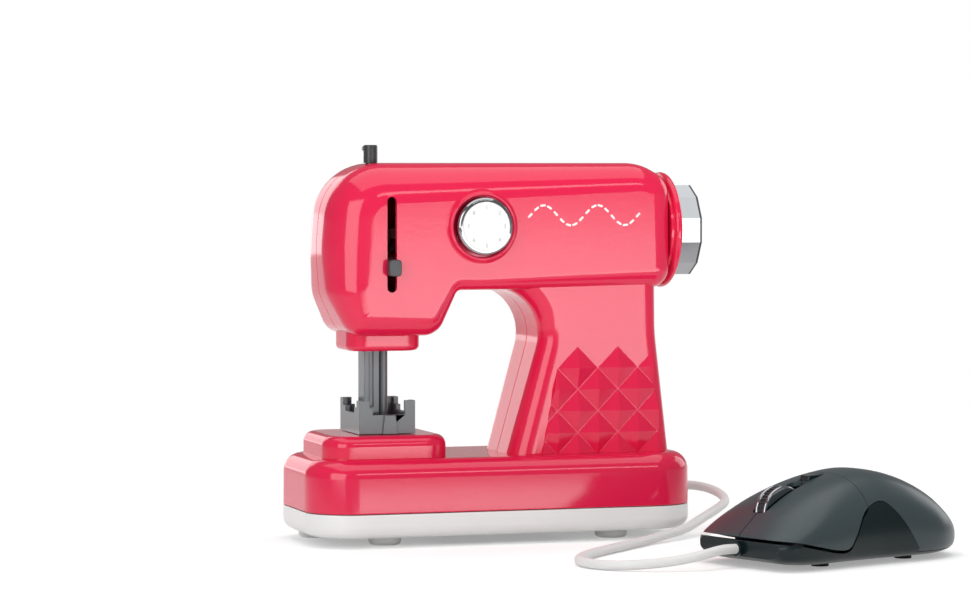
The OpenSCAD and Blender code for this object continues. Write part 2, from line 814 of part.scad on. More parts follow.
module body_front_shell() {
    color(pink) at_machine() difference() {
        union() {
            difference() {
                union() {
                    body_half(-1);
                    relief();
                    rod_y(dial_x, -arm_half - bezel_h, dial_z, bezel_out, bezel_h + overlap);
                }
                body_hollow(-1);
            }
            body_fittings(-1);
        }
        body_openings(-1);
        for (p = body_screw_at)
            rod_y(p[0], p[1] > arm_low ? body_screw_tip : -column_half + wall + 3, p[1],
                screw_r + run_gap, arm_half);
        rod_y(dial_x, -arm_half - bezel_h - overlap, dial_z, bezel_in, bezel_h + overlap);
        rod_y(dial_x, -arm_half - bezel_h, dial_z, dial_shaft_r + run_gap, 2 * wall + bezel_h);
        for (z = [slot_low + slot_w / 2, slot_high - slot_w / 2])
            rod_y(slot_x, -arm_half - overlap, z, slot_w / 2, 2 * wall + overlap);
        block(slot_x - slot_w / 2, slot_x + slot_w / 2, -arm_half - overlap, -arm_half + 2 * wall,
            slot_low + slot_w / 2, slot_high - slot_w / 2);
    }
}

module body_rear_shell() {
    color(pink) at_machine() difference() {
        union() {
            difference() {
                body_half(1);
                body_hollow(1);
            }
            body_fittings(1);
            for (z = gear_screw_z)
                rod_y(gear_screw_x, plate_back + plate_t, z, boss_r,
                    (z > arm_under ? arm_half : column_half) - wall / 2 - plate_back - plate_t);
        }
        body_openings(1);
        for (p = body_screw_at) {
            rod_y(p[0], -overlap, p[1], screw_hole_r, 2 * arm_half);
            rod_y(p[0], body_sink_y, p[1], screw_sink_r, arm_half);
        }
        for (z = gear_screw_z)
            rod_y(gear_screw_x, plate_back, z, screw_r + run_gap, plate_t + 2.4);
    }
}

module body_screws() {
    color(steel) at_machine() for (p = body_screw_at)
        translate([p[0], body_sink_y, p[1]])
            rotate([90, 0, 0])
                translate([0, 0, -screw_head_h])
                    screw(screw_head_h + body_sink_y
                        - (p[1] > arm_low ? body_screw_tip : -column_half + wall + 3) - 1);
}

module needle_collar() {
    color(pink) at_machine() translate([needle_x, 0, head_under - collar_drop]) difference() {
        round_plate(collar_l, collar_d, collar_r, collar_top - head_under + collar_drop);
        translate([-needle_x, 0, 0]) {
            block(bar_x - bar_l / 2 - slide_gap, bar_x + bar_l / 2 + slide_gap,
                -bar_d / 2 - slide_gap, bar_d / 2 + slide_gap, -overlap, 2 * collar_drop);
            translate([needle_rod_x, needle_rod_y, -overlap])
                cylinder(r = rod_r + slide_gap, h = 3 * collar_drop);
        }
    }
}

module spool_pin() {
    color(dark) at_machine() translate([pin_x, 0, 0]) {
        translate([0, 0, spool_low])
            cylinder(r = pin_stub_r, h = arm_top + overlap - spool_low);
        translate([0, 0, arm_top])
            cylinder(r = pin_r, h = pin_rise - pin_bevel);
        translate([0, 0, arm_top + pin_rise - pin_bevel])
            cylinder(r1 = pin_r, r2 = pin_r - pin_bevel, h = pin_bevel);
    }
}

module arm_end_ring() {
    groove = 1.2;
    color(pink) at_machine() translate([ring_x, 0, shaft_z]) rotate([0, 90, 0]) rotate_extrude()
        polygon([
            [bush_r + run_gap, 0], [ring_r - 2.4, 0], [ring_r - 2.4, groove], [ring_r - 0.8, groove],
            [ring_r, groove + 0.8], [ring_r, ring_w - 1.4], [ring_r - 1.4, ring_w],
            [bush_r + run_gap, ring_w],
        ]);
}

// Shaft, gears and motor
module bush(x, l) {
    color("#d8c9a0") at_machine() difference() {
        rod_x(x, 0, shaft_z, bush_r, l);
        rod_x(x - overlap, 0, shaft_z, shaft_r + run_gap, l + 2 * overlap);
    }
}

module shaft_bush_left() {
    bush(bush_x, bush_l);
}

module shaft_bush_right() {
    bush(arm_right - wall, wall + ring_w);
}

// Tooth profile: flank half angle at a radius of an involute gear
function inv(a) = tan(a) * 180 / PI - a;
function tooth_half(teeth, r) =
    let (pitch = gear_module * teeth / 2, base = pitch * cos(20))
    90 / teeth + inv(20) - (r > base ? inv(acos(base / r)) : 0) - backlash / 2 / pitch * 180 / PI;

module gear_shape(teeth) {
    pitch = gear_module * teeth / 2;
    base = max(pitch * cos(20), pitch - 1.1 * gear_module);
    radii = [pitch - 1.25 * gear_module, base, pitch, pitch + 0.85 * gear_module];
    polygon([for (k = [0 : teeth - 1]) each concat(
        [for (r = radii) let (a = 360 * k / teeth - tooth_half(teeth, r)) [r * cos(a), r * sin(a)]],
        [for (i = [3 : -1 : 0]) let (a = 360 * k / teeth + tooth_half(teeth, radii[i]))
            [radii[i] * cos(a), radii[i] * sin(a)]])]);
}

// Gear across X with a tooth, or a gap, at the given angle from +Y towards +Z
module gear(x, z, teeth, angle, bore) {
    translate([x, 0, z])
        rotate([90, 0, 90])
            difference() {
                linear_extrude(gear_w)
                    rotate(angle)
                        gear_shape(teeth);
                translate([0, 0, -overlap])
                    cylinder(r = bore, h = gear_w + 2 * overlap);
            }
}

module hand_wheel() {
    rim = 1;
    dish = 1.5;
    color(steel) at_machine() translate([wheel_x, 0, shaft_z]) rotate([0, 90, 0]) intersection() {
        rotate_extrude()
            polygon([
                [shaft_r, 0], [wheel_r - rim, 0], [wheel_r, rim], [wheel_r, wheel_w - rim],
                [wheel_r - rim, wheel_w], [wheel_r - 2 * dish, wheel_w], [wheel_r - 3 * dish, wheel_w - dish],
                [0, wheel_w - dish], [0, wheel_bore_l - dish], [shaft_r, wheel_bore_l - dish],
            ]);
        rotate(180 / wheel_sides) translate([0, 0, -1])
            cylinder(r = wheel_r + wheel_crown, h = wheel_w + 2, $fn = wheel_sides);
    }
}

module main_shaft() {
    color(steel) at_machine()
        rod_x(crank_x - crank_disc_t, 0, shaft_z, shaft_r,
            wheel_x + wheel_bore_l - 1.5 - crank_x + crank_disc_t);
}

module main_gear() {
    color(white) at_machine()
        gear(gear_second_x, shaft_z, teeth_big, -90 + 180 / teeth_big, shaft_r);
}

module crank_disc() {
    color(white) at_machine() difference() {
        rod_x(crank_x - crank_disc_t, 0, shaft_z, crank_disc_r, crank_disc_t);
        rod_x(crank_x - crank_disc_t - overlap, 0, shaft_z, shaft_r, crank_disc_t + 2 * overlap);
        rod_x(crank_x - crank_disc_t - overlap, 0, yoke_z, crank_pin_r, crank_disc_t + 2 * overlap);
    }
}

module crank_pin() {
    color(steel) at_machine()
        rod_x(yoke_x - 0.5, 0, yoke_z, crank_pin_r, crank_x - yoke_x + 0.5);
}

module idler_gear() {
    color(white) at_machine() {
        gear(gear_first_x, idler_z, teeth_big, -90 + 180 / teeth_big, idler_pin_r + run_gap);
        difference() {
            rod_x(gear_first_x + gear_w, 0, idler_z, pitch_small - 1.25 * gear_module, 2);
            rod_x(gear_first_x, 0, idler_z, idler_pin_r + run_gap, 2 * gear_w);
        }
        gear(gear_second_x, idler_z, teeth_small, 90, idler_pin_r + run_gap);
    }
}

module idler_pin() {
    color(steel) at_machine()
        rod_x(plate_left, 0, idler_z, idler_pin_r, plate_right + plate_t - plate_left);
}

module motor_pinion() {
    color("#c8a24a") at_machine()
        gear(gear_first_x, motor_z, teeth_small, 90, motor_shaft_r);
}

module motor_shaft() {
    color(steel) at_machine()
        rod_x(plate_left - motor_bore + 0.5, 0, motor_z, motor_shaft_r,
            gear_first_x + gear_w + motor_bore - plate_left);
}

module motor_can() {
    color("#9aa0a5") at_machine() difference() {
        intersection() {
            rod_x(plate_left - motor_l, 0, motor_z, motor_r, motor_l);
            block(plate_left - motor_l - overlap, plate_left + overlap, -motor_r - overlap, motor_r + overlap,
                motor_z - motor_flat / 2, motor_z + motor_flat / 2);
        }
        rod_x(plate_left - motor_bore, 0, motor_z, motor_shaft_r + run_gap, motor_bore + overlap);
    }
}

module gearbox_frame() {
    color("#dadada") at_machine() difference() {
        union() {
            for (x = [plate_left, plate_right])
                block(x, x + plate_t, plate_front, plate_back + plate_t, plate_low, plate_high);
            block(plate_left, plate_right + plate_t, plate_back, plate_back + plate_t, plate_low, plate_high);
        }
        rod_x(plate_left - overlap, 0, shaft_z, shaft_r + 0.6, plate_right - plate_left + 2 * plate_t);
        rod_x(plate_left - overlap, 0, idler_z, idler_pin_r, plate_right - plate_left + 2 * plate_t);
        rod_x(plate_left - overlap, 0, motor_z, motor_shaft_r + 0.6, plate_t + 2 * overlap);
        for (z = gear_screw_z)
            rod_y(gear_screw_x, plate_back - overlap, z, screw_hole_r, plate_t + 2 * overlap);
    }
}

module gearbox_screws() {
    color(steel) at_machine() for (z = gear_screw_z)
        translate([gear_screw_x, plate_back - screw_head_h, z])
            rotate([-90, 0, 0])
                screw(screw_head_h + plate_t + 2);
}

// Needle train
module presser_foot() {
    prong = 4.5;
    notch = 3;
    color(grey) at_machine() translate([needle_x, 0, foot_z]) difference() {
        union() {
            block(-foot_l / 2, foot_l / 2, -foot_d / 2, foot_d / 2, 0, foot_h);
            for (x = [-1, 1], y = [-1, 1])
                translate([x * (foot_l - prong) / 2, y * (foot_d - prong) / 2, foot_h - overlap])
                    cube([prong, prong, 2 * (prong_h + overlap)], center = true);
            toe();
        }
        block(-foot_l / 2 + foot_wall, foot_l / 2 - foot_wall,
            -foot_d / 2 + foot_wall, foot_d / 2 - foot_wall,
            2.6, foot_h + 2 * prong_h);
        block(-foot_l / 2 + 6, foot_l / 2 - prong, -foot_d, foot_d, foot_h - notch, foot_h + overlap);
        block(-foot_l, foot_l, -foot_d / 2 + 8, foot_d / 2 - 8, foot_h - notch + 0.6, foot_h + overlap);
        translate([-needle_x, 0, -overlap]) {
            block(bar_x - bar_l / 2, bar_x + bar_l / 2, -bar_d / 2, bar_d / 2, 0, foot_h);
            translate([needle_rod_x, needle_rod_y, 0])
                cylinder(r = rod_r, h = foot_h);
        }
    }
}

// Plate on the front of the presser foot, wider at the bottom
module toe() {
    toe_t = 1.2;
    translate([1, -foot_d / 2 + overlap, 0])
        rotate([90, 0, 0])
            linear_extrude(toe_t + overlap)
                polygon([[-3.2, 0], [3.2, 0], [2.4, foot_h - 3.2], [-2.4, foot_h - 3.2]]);
}

module needle_bar() {
    color(grey) at_machine() difference() {
        block(bar_x - bar_l / 2, bar_x + bar_l / 2, -bar_d / 2, bar_d / 2, foot_z, bridge_z);
        block(bar_x - 1.2, bar_x + 0.6, -bar_d, -bar_d / 2 + 0.8, foot_z + foot_h, bridge_z - bar_groove_end);
    }
}

module needle_rod() {
    color(steel) at_machine() translate([needle_rod_x, needle_rod_y, foot_z])
        cylinder(r = rod_r, h = bridge_z - foot_z);
}

module needle_yoke() {
    half = yoke_slot_w / 2 + yoke_rim;
    color(white) at_machine() difference() {
        union() {
            block(yoke_x, yoke_x + yoke_t, -half, half, yoke_low, yoke_low + yoke_slot_h + 2 * yoke_rim);
            block(bar_x - bar_l / 2, yoke_x + yoke_t, -bar_d / 2, bar_d / 2, bridge_z, bridge_z + bridge_h);
        }
        block(yoke_x - overlap, yoke_x + yoke_t + overlap, -yoke_slot_w / 2, yoke_slot_w / 2,
            yoke_z - yoke_slot_h / 2, yoke_z + yoke_slot_h / 2);
        rod_y(slot_x, -bar_d, lever_z, lever_r, bar_d);
    }
}

module thread_lever() {
    color(dark) at_machine() {
        rod_y(slot_x, -arm_half - lever_knob_gap - 1, lever_z, lever_r, arm_half + lever_knob_gap + 1);
        translate([slot_x, -arm_half - lever_knob_gap, lever_z])
            rotate([90, 0, 0])
                round_plate(lever_knob[0], lever_knob[2], 1.6, lever_knob[1]);
    }
}

// Dial
module dial_knob() {
    color(steel) at_machine() translate([dial_x, -arm_half - dial_gap, dial_z])
        rotate([90, 0, 0]) difference() {
        union() {
            cylinder(r1 = dial_r, r2 = dial_cap_r + 0.5, h = dial_h);
            translate([0, 0, -wall - clip_t - dial_tail])
                cylinder(r = dial_shaft_r, h = wall + clip_t + dial_tail + overlap);
        }
        translate([0, 0, dial_h - dial_cap_t])
            cylinder(r = dial_cap_r, h = 2 * dial_cap_t);
    }
}

module dial_cap() {
    color(white) at_machine() translate([dial_x, -arm_half - dial_gap - dial_h + dial_cap_t, dial_z])
        rotate([90, 0, 0])
            cylinder(r = dial_cap_r, h = dial_cap_t + 0.6);
}

module dial_clip() {
    color(steel) at_machine() translate([dial_x, -arm_half + wall + dial_gap + clip_t, dial_z])
        rotate([90, 0, 0])
            difference() {
                cylinder(r = clip_r, h = clip_t);
                translate([0, 0, -overlap])
                    cylinder(r = dial_shaft_r, h = clip_t + 2 * overlap);
            }
}

// Hand control: smooth reading of the sections at a place along its length
function mouse_at(s, key) =
    let (t = min(max(s / mouse_l, 0), 1))
    let (k = max([for (i = [0 : len(mouse_sections) - 2]) mouse_sections[i][0] <= t ? i : 0]))
    let (a = mouse_sections[k], b = mouse_sections[k + 1])
    a[key] + (b[key] - a[key]) * (t - a[0]) / (b[0] - a[0]);
function mouse_top(s) = mouse_at(s, 2) * mouse_h;
function power(v, e) = v == 0 ? 0 : sign(v) * pow(abs(v), e);

// Cross-section: a soft crown above the belt and a squarer keel with a flat bottom below it
function mouse_ring(row, inset) =
    let (w = row[1] * mouse_w / 2 - inset, top = row[2] * mouse_h - inset, low = row[3] + inset)
    let (belt = min(max(mouse_belt, low + 1), top - 2))
    [for (k = [0 : mouse_sides - 1]) let (t = 360 * k / mouse_sides, c = cos(t), s = sin(t))
        s >= 0 ? [row[0] * mouse_l, w * power(c, 0.8), belt + (top - belt) * power(s, 0.9)]
               : [row[0] * mouse_l, w * power(c, 0.5),
                   belt - (belt - low) * min(1, keel_fill * power(-s, 0.6))]];

module mouse_solid() {
    loft([for (row = mouse_sections) mouse_ring(row, 0)]);
}

module mouse_hollow() {
    last = len(mouse_sections) - 3;
    rows = [for (i = [0 : last]) let (row = mouse_sections[i])
        [i == 0 ? mouse_wall / mouse_l : row[0], row[1], row[2], row[3]]];
    loft([for (row = rows) mouse_ring(row, mouse_wall)]);
}

module mouse_skin() {
    difference() {
        mouse_solid();
        mouse_hollow();
    }
}

// Space above the wave line, lowered by a gap that is wider under the buttons
module above_wave(still, moving) {
    translate([0, mouse_w, 0])
        rotate([90, 0, 0])
            linear_extrude(2 * mouse_w)
                polygon(concat(
                    [for (p = mouse_wave) [p[0], p[1] - (p[0] < button_end ? moving : still)]],
                    [[2 * mouse_l, -6], [2 * mouse_l, 2 * mouse_h], [-6, 2 * mouse_h]]));
}

module mouse_base() {
    posts = [for (s = [-1, 1]) s * (scroll_post_y + scroll_post_t / 2)];
    color(dark) at_mouse() difference() {
        union() {
            difference() {
                mouse_skin();
                above_wave(seat_gap, button_drop);
            }
            for (y = posts)
                block(scroll_s - scroll_post_l / 2, scroll_s + scroll_post_l / 2,
                    y - scroll_post_t / 2, y + scroll_post_t / 2,
                    mouse_lift + mouse_wall / 2, scroll_z + scroll_axle_r + scroll_post_over);
            for (x = [-1, 1], y = [-1, 1])
                translate([board_s + x * (board_l / 2 - 3), y * (board_w / 2 - 3),
                    mouse_lift + mouse_wall / 2])
                    cylinder(r = 2, h = board_z - mouse_lift - mouse_wall / 2);
            for (p = mouse_screw_at)
                translate([p[0], p[1], mouse_lift + mouse_wall / 2])
                    cylinder(r = boss_r, h = mouse_wall / 2 + mouse_seat);
        }
        rod_y(scroll_s, -mouse_w / 4, scroll_z, scroll_axle_r, mouse_w / 2);
        rod_x(-mouse_wall, 0, gland_z, gland_r, 4 * mouse_wall);
        for (p = mouse_screw_at)
            translate([p[0], p[1], 0]) {
                cylinder(r = screw_hole_r, h = mouse_lift + 2 * mouse_wall + mouse_seat);
                cylinder(r = screw_sink_r, h = mouse_lift + screw_head_h + 0.2);
            }
    }
}

module mouse_top() {
    color(charcoal) at_mouse() difference() {
        union() {
            intersection() {
                mouse_skin();
                above_wave(0, 0);
                block(button_end, 2 * mouse_l, -mouse_w, mouse_w, -overlap, 2 * mouse_h);
            }
            for (p = mouse_screw_at)
                translate([p[0], p[1], mouse_lift + mouse_wall + mouse_seat])
                    cylinder(r = boss_r, h = mouse_top(p[0]) - mouse_lift - mouse_seat - 2.2 * mouse_wall);
        }
        for (p = mouse_screw_at)
            translate([p[0], p[1], 0])
                cylinder(r = screw_r + run_gap, h = mouse_lift + mouse_screw_l + 1.2);
    }
}

// One button: the front of the upper shell on one side of the wheel
module mouse_button(side) {
    y_low = side > 0 ? button_gap / 2 : -mouse_w;
    y_high = side > 0 ? mouse_w : -button_gap / 2;
    tip = board_z + board_t + switch_h + plunger_gap;
    color(charcoal) at_mouse() {
        difference() {
            intersection() {
                mouse_skin();
                above_wave(0, 0);
                block(-mouse_l, button_end - button_gap, y_low, y_high, -overlap, 2 * mouse_h);
            }
            block(scroll_s - scroll_r - 1, scroll_s + scroll_r + 1,
                -scroll_slot / 2, scroll_slot / 2, 0, 2 * mouse_h);
            block(mode_s - mode_l / 2 - slide_gap, mode_s + mode_l / 2 + slide_gap,
                -mode_w / 2 - slide_gap, mode_w / 2 + slide_gap, 0, 2 * mouse_h);
        }
        for (p = switch_at)
            if (p[1] * side > 0)
                translate([p[0], p[1], tip])
                    cylinder(r = plunger_r, h = mouse_top(p[0]) * 0.92 - tip);
    }
}

module mouse_left_button() {
    mouse_button(1);
}

module mouse_right_button() {
    mouse_button(-1);
}

module mouse_scroll_wheel() {
    color(steel) at_mouse() translate([scroll_s, scroll_w / 2, scroll_z]) rotate([90, 0, 0]) difference() {
        cylinder(r = scroll_r, h = scroll_w);
        translate([0, 0, -overlap])
            cylinder(r = scroll_axle_r + run_gap, h = scroll_w + 2 * overlap);
        translate([0, 0, scroll_w / 2])
            rotate_extrude()
                translate([scroll_r + 0.6, 0])
                    circle(1.6);
    }
}

module mouse_wheel_axle() {
    half = scroll_post_y + scroll_post_t;
    color(steel) at_mouse()
        rod_y(scroll_s, -half, scroll_z, scroll_axle_r, 2 * half);
}

module mouse_mode_button() {
    stem_low = board_z + board_t + switch_h + mode_travel + 0.1;
    color(dark) at_mouse() {
        translate([mode_s, 0, mode_z - 2.4])
            round_plate(mode_l, mode_w, 1.4, 2.4 + mode_rise);
        translate([mode_s, 0, stem_low])
            cylinder(r = plunger_r, h = mode_z - 2 - stem_low);
    }
}

module mouse_board() {
    color("#2f6b45") at_mouse() difference() {
        block(board_s - board_l / 2, board_s + board_l / 2, -board_w / 2, board_w / 2,
            board_z, board_z + board_t);
        for (s = [-1, 1])
            translate([scroll_s, s * (scroll_post_y + scroll_post_t / 2), board_z])
                cube([scroll_post_l + 2 * slide_gap, scroll_post_t + 2 * slide_gap, 4 * board_t], center = true);
        block(scroll_s - scroll_r, scroll_s + scroll_r, -scroll_w / 2, scroll_w / 2, 0, mouse_h);
    }
}

module mouse_switches() {
    color("#1c1c1c") at_mouse() for (p = concat(switch_at, [[mode_s, 0]]))
        translate([p[0], p[1], board_z + board_t]) {
            translate([-3, -3, 0])
                cube([6, 6, switch_h - 1]);
            cylinder(r = 1.6, h = switch_h);
        }
}

module mouse_screws() {
    color(steel) at_mouse() for (p = mouse_screw_at)
        translate([p[0], p[1], mouse_lift + 0.2])
            screw(mouse_screw_l);
}

module mouse_feet() {
    color("#202426") at_mouse() for (p = mouse_foot_at)
        translate([p[0], p[1], 0])
            cylinder(r = mouse_foot_r, h = mouse_lift);
}

module mouse_gland() {
    color(dark) at_mouse()
        rod_x(-gland_out, 0, gland_z, gland_r, gland_out + 2 * mouse_wall);
}

// Lead and its grommet
module cord_grommet() {
    color(white) at_machine() translate([base_l / 2 - wall, cord_y, cord_z])
        rotate([0, 90, 0]) rotate_extrude()
        polygon([
            [0, -1.5], [grommet_r, -1.5], [grommet_r, 0], [grommet_neck, 0], [grommet_neck, wall],
            [grommet_r, wall], [grommet_r - 0.4, wall + 1.5], [grommet_neck, wall + 2],
            [cord_d / 2 + 0.5, wall + grommet_nose], [0, wall + grommet_nose],
        ]);
}

// Direction of the lead at a point, and a ring of points square to it
function route_way(i) =
    unit(cord_route[min(i + 1, len(cord_route) - 1)] - cord_route[max(i - 1, 0)]);
function route_ring(i) =
    let (t = route_way(i), u = unit(cross([0, 0, 1], t)), v = cross(t, u))
    [for (k = [0 : cord_sides - 1]) let (a = 360 * (k + 0.5) / cord_sides)
        cord_route[i] + (u * cos(a) + v * sin(a)) * cord_d / 2];

module cord() {
    color(white) at_machine()
        loft([for (i = [0 : len(cord_route) - 1]) route_ring(i)]);
}

base_tray();
base_cover();
base_feet();
battery_door();
door_screw();
batteries();
battery_contacts();
base_screws();
column_screws();
body_front_shell();
body_rear_shell();
body_screws();
needle_collar();
spool_pin();
arm_end_ring();
shaft_bush_left();
shaft_bush_right();
gearbox_frame();
gearbox_screws();
motor_can();
idler_pin();
cord_grommet();
cord();
hand_wheel();
main_shaft();
main_gear();
crank_disc();
crank_pin();
needle_yoke();
needle_bar();
needle_rod();
presser_foot();
thread_lever();
idler_gear();
motor_pinion();
motor_shaft();
dial_knob();
dial_cap();
dial_clip();
mouse_base();
mouse_top();
mouse_left_button();
mouse_right_button();
mouse_scroll_wheel();
mouse_wheel_axle();
mouse_mode_button();
mouse_board();
mouse_switches();
mouse_screws();
mouse_feet();
mouse_gland();
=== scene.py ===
import bmesh
import bpy
from math import acos, atan2, cos, pi, radians, sin, tan
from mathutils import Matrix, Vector
from mathutils.kdtree import KDTree


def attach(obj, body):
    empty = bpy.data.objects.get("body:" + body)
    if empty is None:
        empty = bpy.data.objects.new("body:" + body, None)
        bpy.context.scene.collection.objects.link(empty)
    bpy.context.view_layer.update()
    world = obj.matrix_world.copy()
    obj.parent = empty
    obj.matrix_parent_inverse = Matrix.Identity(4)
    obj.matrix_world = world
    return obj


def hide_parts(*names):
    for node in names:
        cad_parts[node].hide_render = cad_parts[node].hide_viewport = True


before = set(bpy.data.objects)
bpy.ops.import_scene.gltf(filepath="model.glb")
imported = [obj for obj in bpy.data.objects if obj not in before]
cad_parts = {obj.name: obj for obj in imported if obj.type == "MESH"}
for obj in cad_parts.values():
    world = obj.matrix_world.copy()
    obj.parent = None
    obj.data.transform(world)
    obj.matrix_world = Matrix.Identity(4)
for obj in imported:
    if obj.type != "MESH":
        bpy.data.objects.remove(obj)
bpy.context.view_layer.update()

# Pieces are modelled in millimetres about the middle of the base, or about the nose of the hand control,
# and go to metres in the row's frame when they are finished. Two heights less than a hair apart count as one.
mm = 0.001
hair = 0.01
machineSpot = Vector((-37.9, 65.6, 0.0))
controlSpot = machineSpot + Vector((59.0, -143.5, 0.0))
controlTurn = radians(20)


# Selection and mode

def dropSelection():
    if bpy.context.mode != "OBJECT":
        bpy.ops.object.mode_set(mode="OBJECT")
    bpy.ops.object.select_all(action="DESELECT")


def pick(obj):
    dropSelection()
    obj.select_set(True)
    bpy.context.view_layer.objects.active = obj


def applyPlace():
    bpy.ops.object.transform_apply(location=True, rotation=True, scale=True)


def openMesh(obj, kind="EDGE"):
    pick(obj)
    bpy.ops.object.mode_set(mode="EDIT")
    bpy.ops.mesh.select_mode(type=kind)
    bpy.ops.mesh.select_all(action="DESELECT")
    return bmesh.from_edit_mesh(obj.data)


def openWhole(obj):
    openMesh(obj)
    bpy.ops.mesh.select_all(action="SELECT")


def closeMesh():
    bpy.ops.object.mode_set(mode="OBJECT")


def chooseEdges(obj, test):
    mesh = openMesh(obj, "EDGE")
    for edge in mesh.edges:
        edge.select_set(test(edge.verts[0].co, edge.verts[1].co))
    bmesh.update_edit_mesh(obj.data)


def chooseFaces(obj, test):
    mesh = openMesh(obj, "FACE")
    for face in mesh.faces:
        face.select_set(test(face.calc_center_median(), face.normal))
    bmesh.update_edit_mesh(obj.data)


# Modelling steps

def addBlock(name, low, high):
    dropSelection()
    middle = [(a + b) / 2 for a, b in zip(low, high)]
    bpy.ops.mesh.primitive_cube_add(size=1, location=middle)
    obj = bpy.context.object
    obj.name = name
    obj.scale = [b - a for a, b in zip(low, high)]
    applyPlace()
    return obj


def roundUprights(obj, radius, segments):
    chooseEdges(obj, lambda a, b: abs(a.z - b.z) > 0.5 * obj.dimensions.z)
    bpy.ops.mesh.bevel(offset=radius, segments=segments, profile=0.5)
    closeMesh()


def roundRim(obj, z, radius, segments):
    chooseEdges(obj, lambda a, b: abs(a.z - z) < hair and abs(b.z - z) < hair)
    bpy.ops.mesh.bevel(offset=radius, segments=segments, profile=0.5)
    closeMesh()


def growRings(name, rings, capFirst=True, capLast=True):
    # a circle is laid on the first ring, and its edge is extruded from ring to ring
    dropSelection()
    count = len(rings[0])
    bpy.ops.mesh.primitive_circle_add(vertices=count, radius=1)
    obj = bpy.context.object
    obj.name = name
    for vert, spot in zip(obj.data.vertices, rings[0]):
        vert.co = spot
    bpy.ops.object.mode_set(mode="EDIT")
    bpy.ops.mesh.select_mode(type="EDGE")
    bpy.ops.mesh.select_all(action="SELECT")
    for last, ring in zip(rings, rings[1:]):
        finder = KDTree(count)
        for i, spot in enumerate(last):
            finder.insert(spot, i)
        finder.balance()
        bpy.ops.mesh.extrude_edges_move()
        mesh = bmesh.from_edit_mesh(obj.data)
        for vert in mesh.verts:
            if vert.select:
                vert.co = ring[finder.find(vert.co)[1]]
        bmesh.update_edit_mesh(obj.data)
    total = count * len(rings)
    for wanted, low, high in ((capFirst, 0, count), (capLast, total - count, total)):
        if wanted:
            bpy.ops.mesh.select_mode(type="VERT")
            bpy.ops.mesh.select_all(action="DESELECT")
            mesh = bmesh.from_edit_mesh(obj.data)
            mesh.verts.ensure_lookup_table()
            for i in range(low, high):
                mesh.verts[i].select_set(True)
            mesh.select_flush(True)
            bpy.ops.mesh.edge_face_add()
    bpy.ops.mesh.select_all(action="SELECT")
    bpy.ops.mesh.normals_make_consistent(inside=False)
    closeMesh()
    return obj


def spinProfile(name, profile, axis, spot, segments=96):
    # profile points are (radius, height along the axis); the axis leaves from spot
    dropSelection()
    bpy.ops.mesh.primitive_circle_add(vertices=len(profile), radius=1)
    obj = bpy.context.object
    obj.name = name
    for vert, (radius, height) in zip(obj.data.vertices, profile):
        vert.co = (radius, 0, height)
    bpy.ops.object.mode_set(mode="EDIT")
    bpy.ops.mesh.select_all(action="SELECT")
    bpy.ops.mesh.spin(steps=segments, angle=2 * pi, center=(0, 0, 0), axis=(0, 0, 1))
    bpy.ops.mesh.select_all(action="SELECT")
    bpy.ops.mesh.remove_doubles(threshold=0.001)
    bpy.ops.mesh.normals_make_consistent(inside=False)
    closeMesh()
    obj.rotation_mode = "QUATERNION"
    obj.rotation_quaternion = Vector((0, 0, 1)).rotation_difference(Vector(axis))
    obj.location = spot
    applyPlace()
    obj.rotation_mode = "XYZ"
    return obj


def applyStep(obj, name, kind, **settings):
    pick(obj)
    step = obj.modifiers.new(name, kind)
    for key, value in settings.items():
        setattr(step, key, value)
    bpy.ops.object.modifier_apply(modifier=step.name)


def cut(obj, tool, how="DIFFERENCE"):
    applyStep(obj, "cut", "BOOLEAN", operation=how, solver="EXACT", object=tool)
    bpy.data.objects.remove(tool)


def soften(obj, width, segments=3, angle=35):
    applyStep(obj, "soft edges", "BEVEL", width=width, segments=segments, limit_method="ANGLE",
              angle_limit=radians(angle))


def thicken(obj, wall):
    applyStep(obj, "wall", "SOLIDIFY", thickness=wall, offset=-1)


def doubled(obj, name):
    copy = obj.copy()
    copy.data = obj.data.copy()
    copy.name = name
    bpy.context.scene.collection.objects.link(copy)
    return copy


def joined(name, parts):
    dropSelection()
    for part in parts:
        part.select_set(True)
    bpy.context.view_layer.objects.active = parts[0]
    bpy.ops.object.join()
    parts[0].name = name
    return parts[0]


def nodeCopy(name, node):
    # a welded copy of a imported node, taken back to millimetres about the machine
    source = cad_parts[node]
    dropSelection()
    obj = bpy.data.objects.new(name, source.data.copy())
    bpy.context.scene.collection.objects.link(obj)
    obj.data.materials.clear()
    obj.scale = (1 / mm, 1 / mm, 1 / mm)
    obj.location = -machineSpot
    pick(obj)
    applyPlace()
    bpy.ops.object.mode_set(mode="EDIT")
    bpy.ops.mesh.select_all(action="SELECT")
    bpy.ops.mesh.remove_doubles(threshold=0.005)
    bpy.ops.mesh.dissolve_limited(angle_limit=radians(1))
    closeMesh()
    return obj


def settle(obj, body, material, nodes=(), smooth=32, control=False):
    pick(obj)
    obj.scale = (mm, mm, mm)
    obj.location = (controlSpot if control else machineSpot) * mm
    if control:
        obj.rotation_euler = (0, 0, controlTurn)
    applyPlace()
    bpy.ops.object.shade_smooth_by_angle(angle=radians(smooth))
    if not control:
        # flat faces keep their own direction, so reflections on them stay straight
        applyStep(obj, "straight faces", "WEIGHTED_NORMAL", keep_sharp=True)
    obj.data.materials.clear()
    obj.data.materials.append(material)
    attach(obj, body)
    if nodes:
        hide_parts(*nodes)
    return obj


# Outlines with rounded corners: a corner is (x, z, radius, edge rounding), counter-clockwise

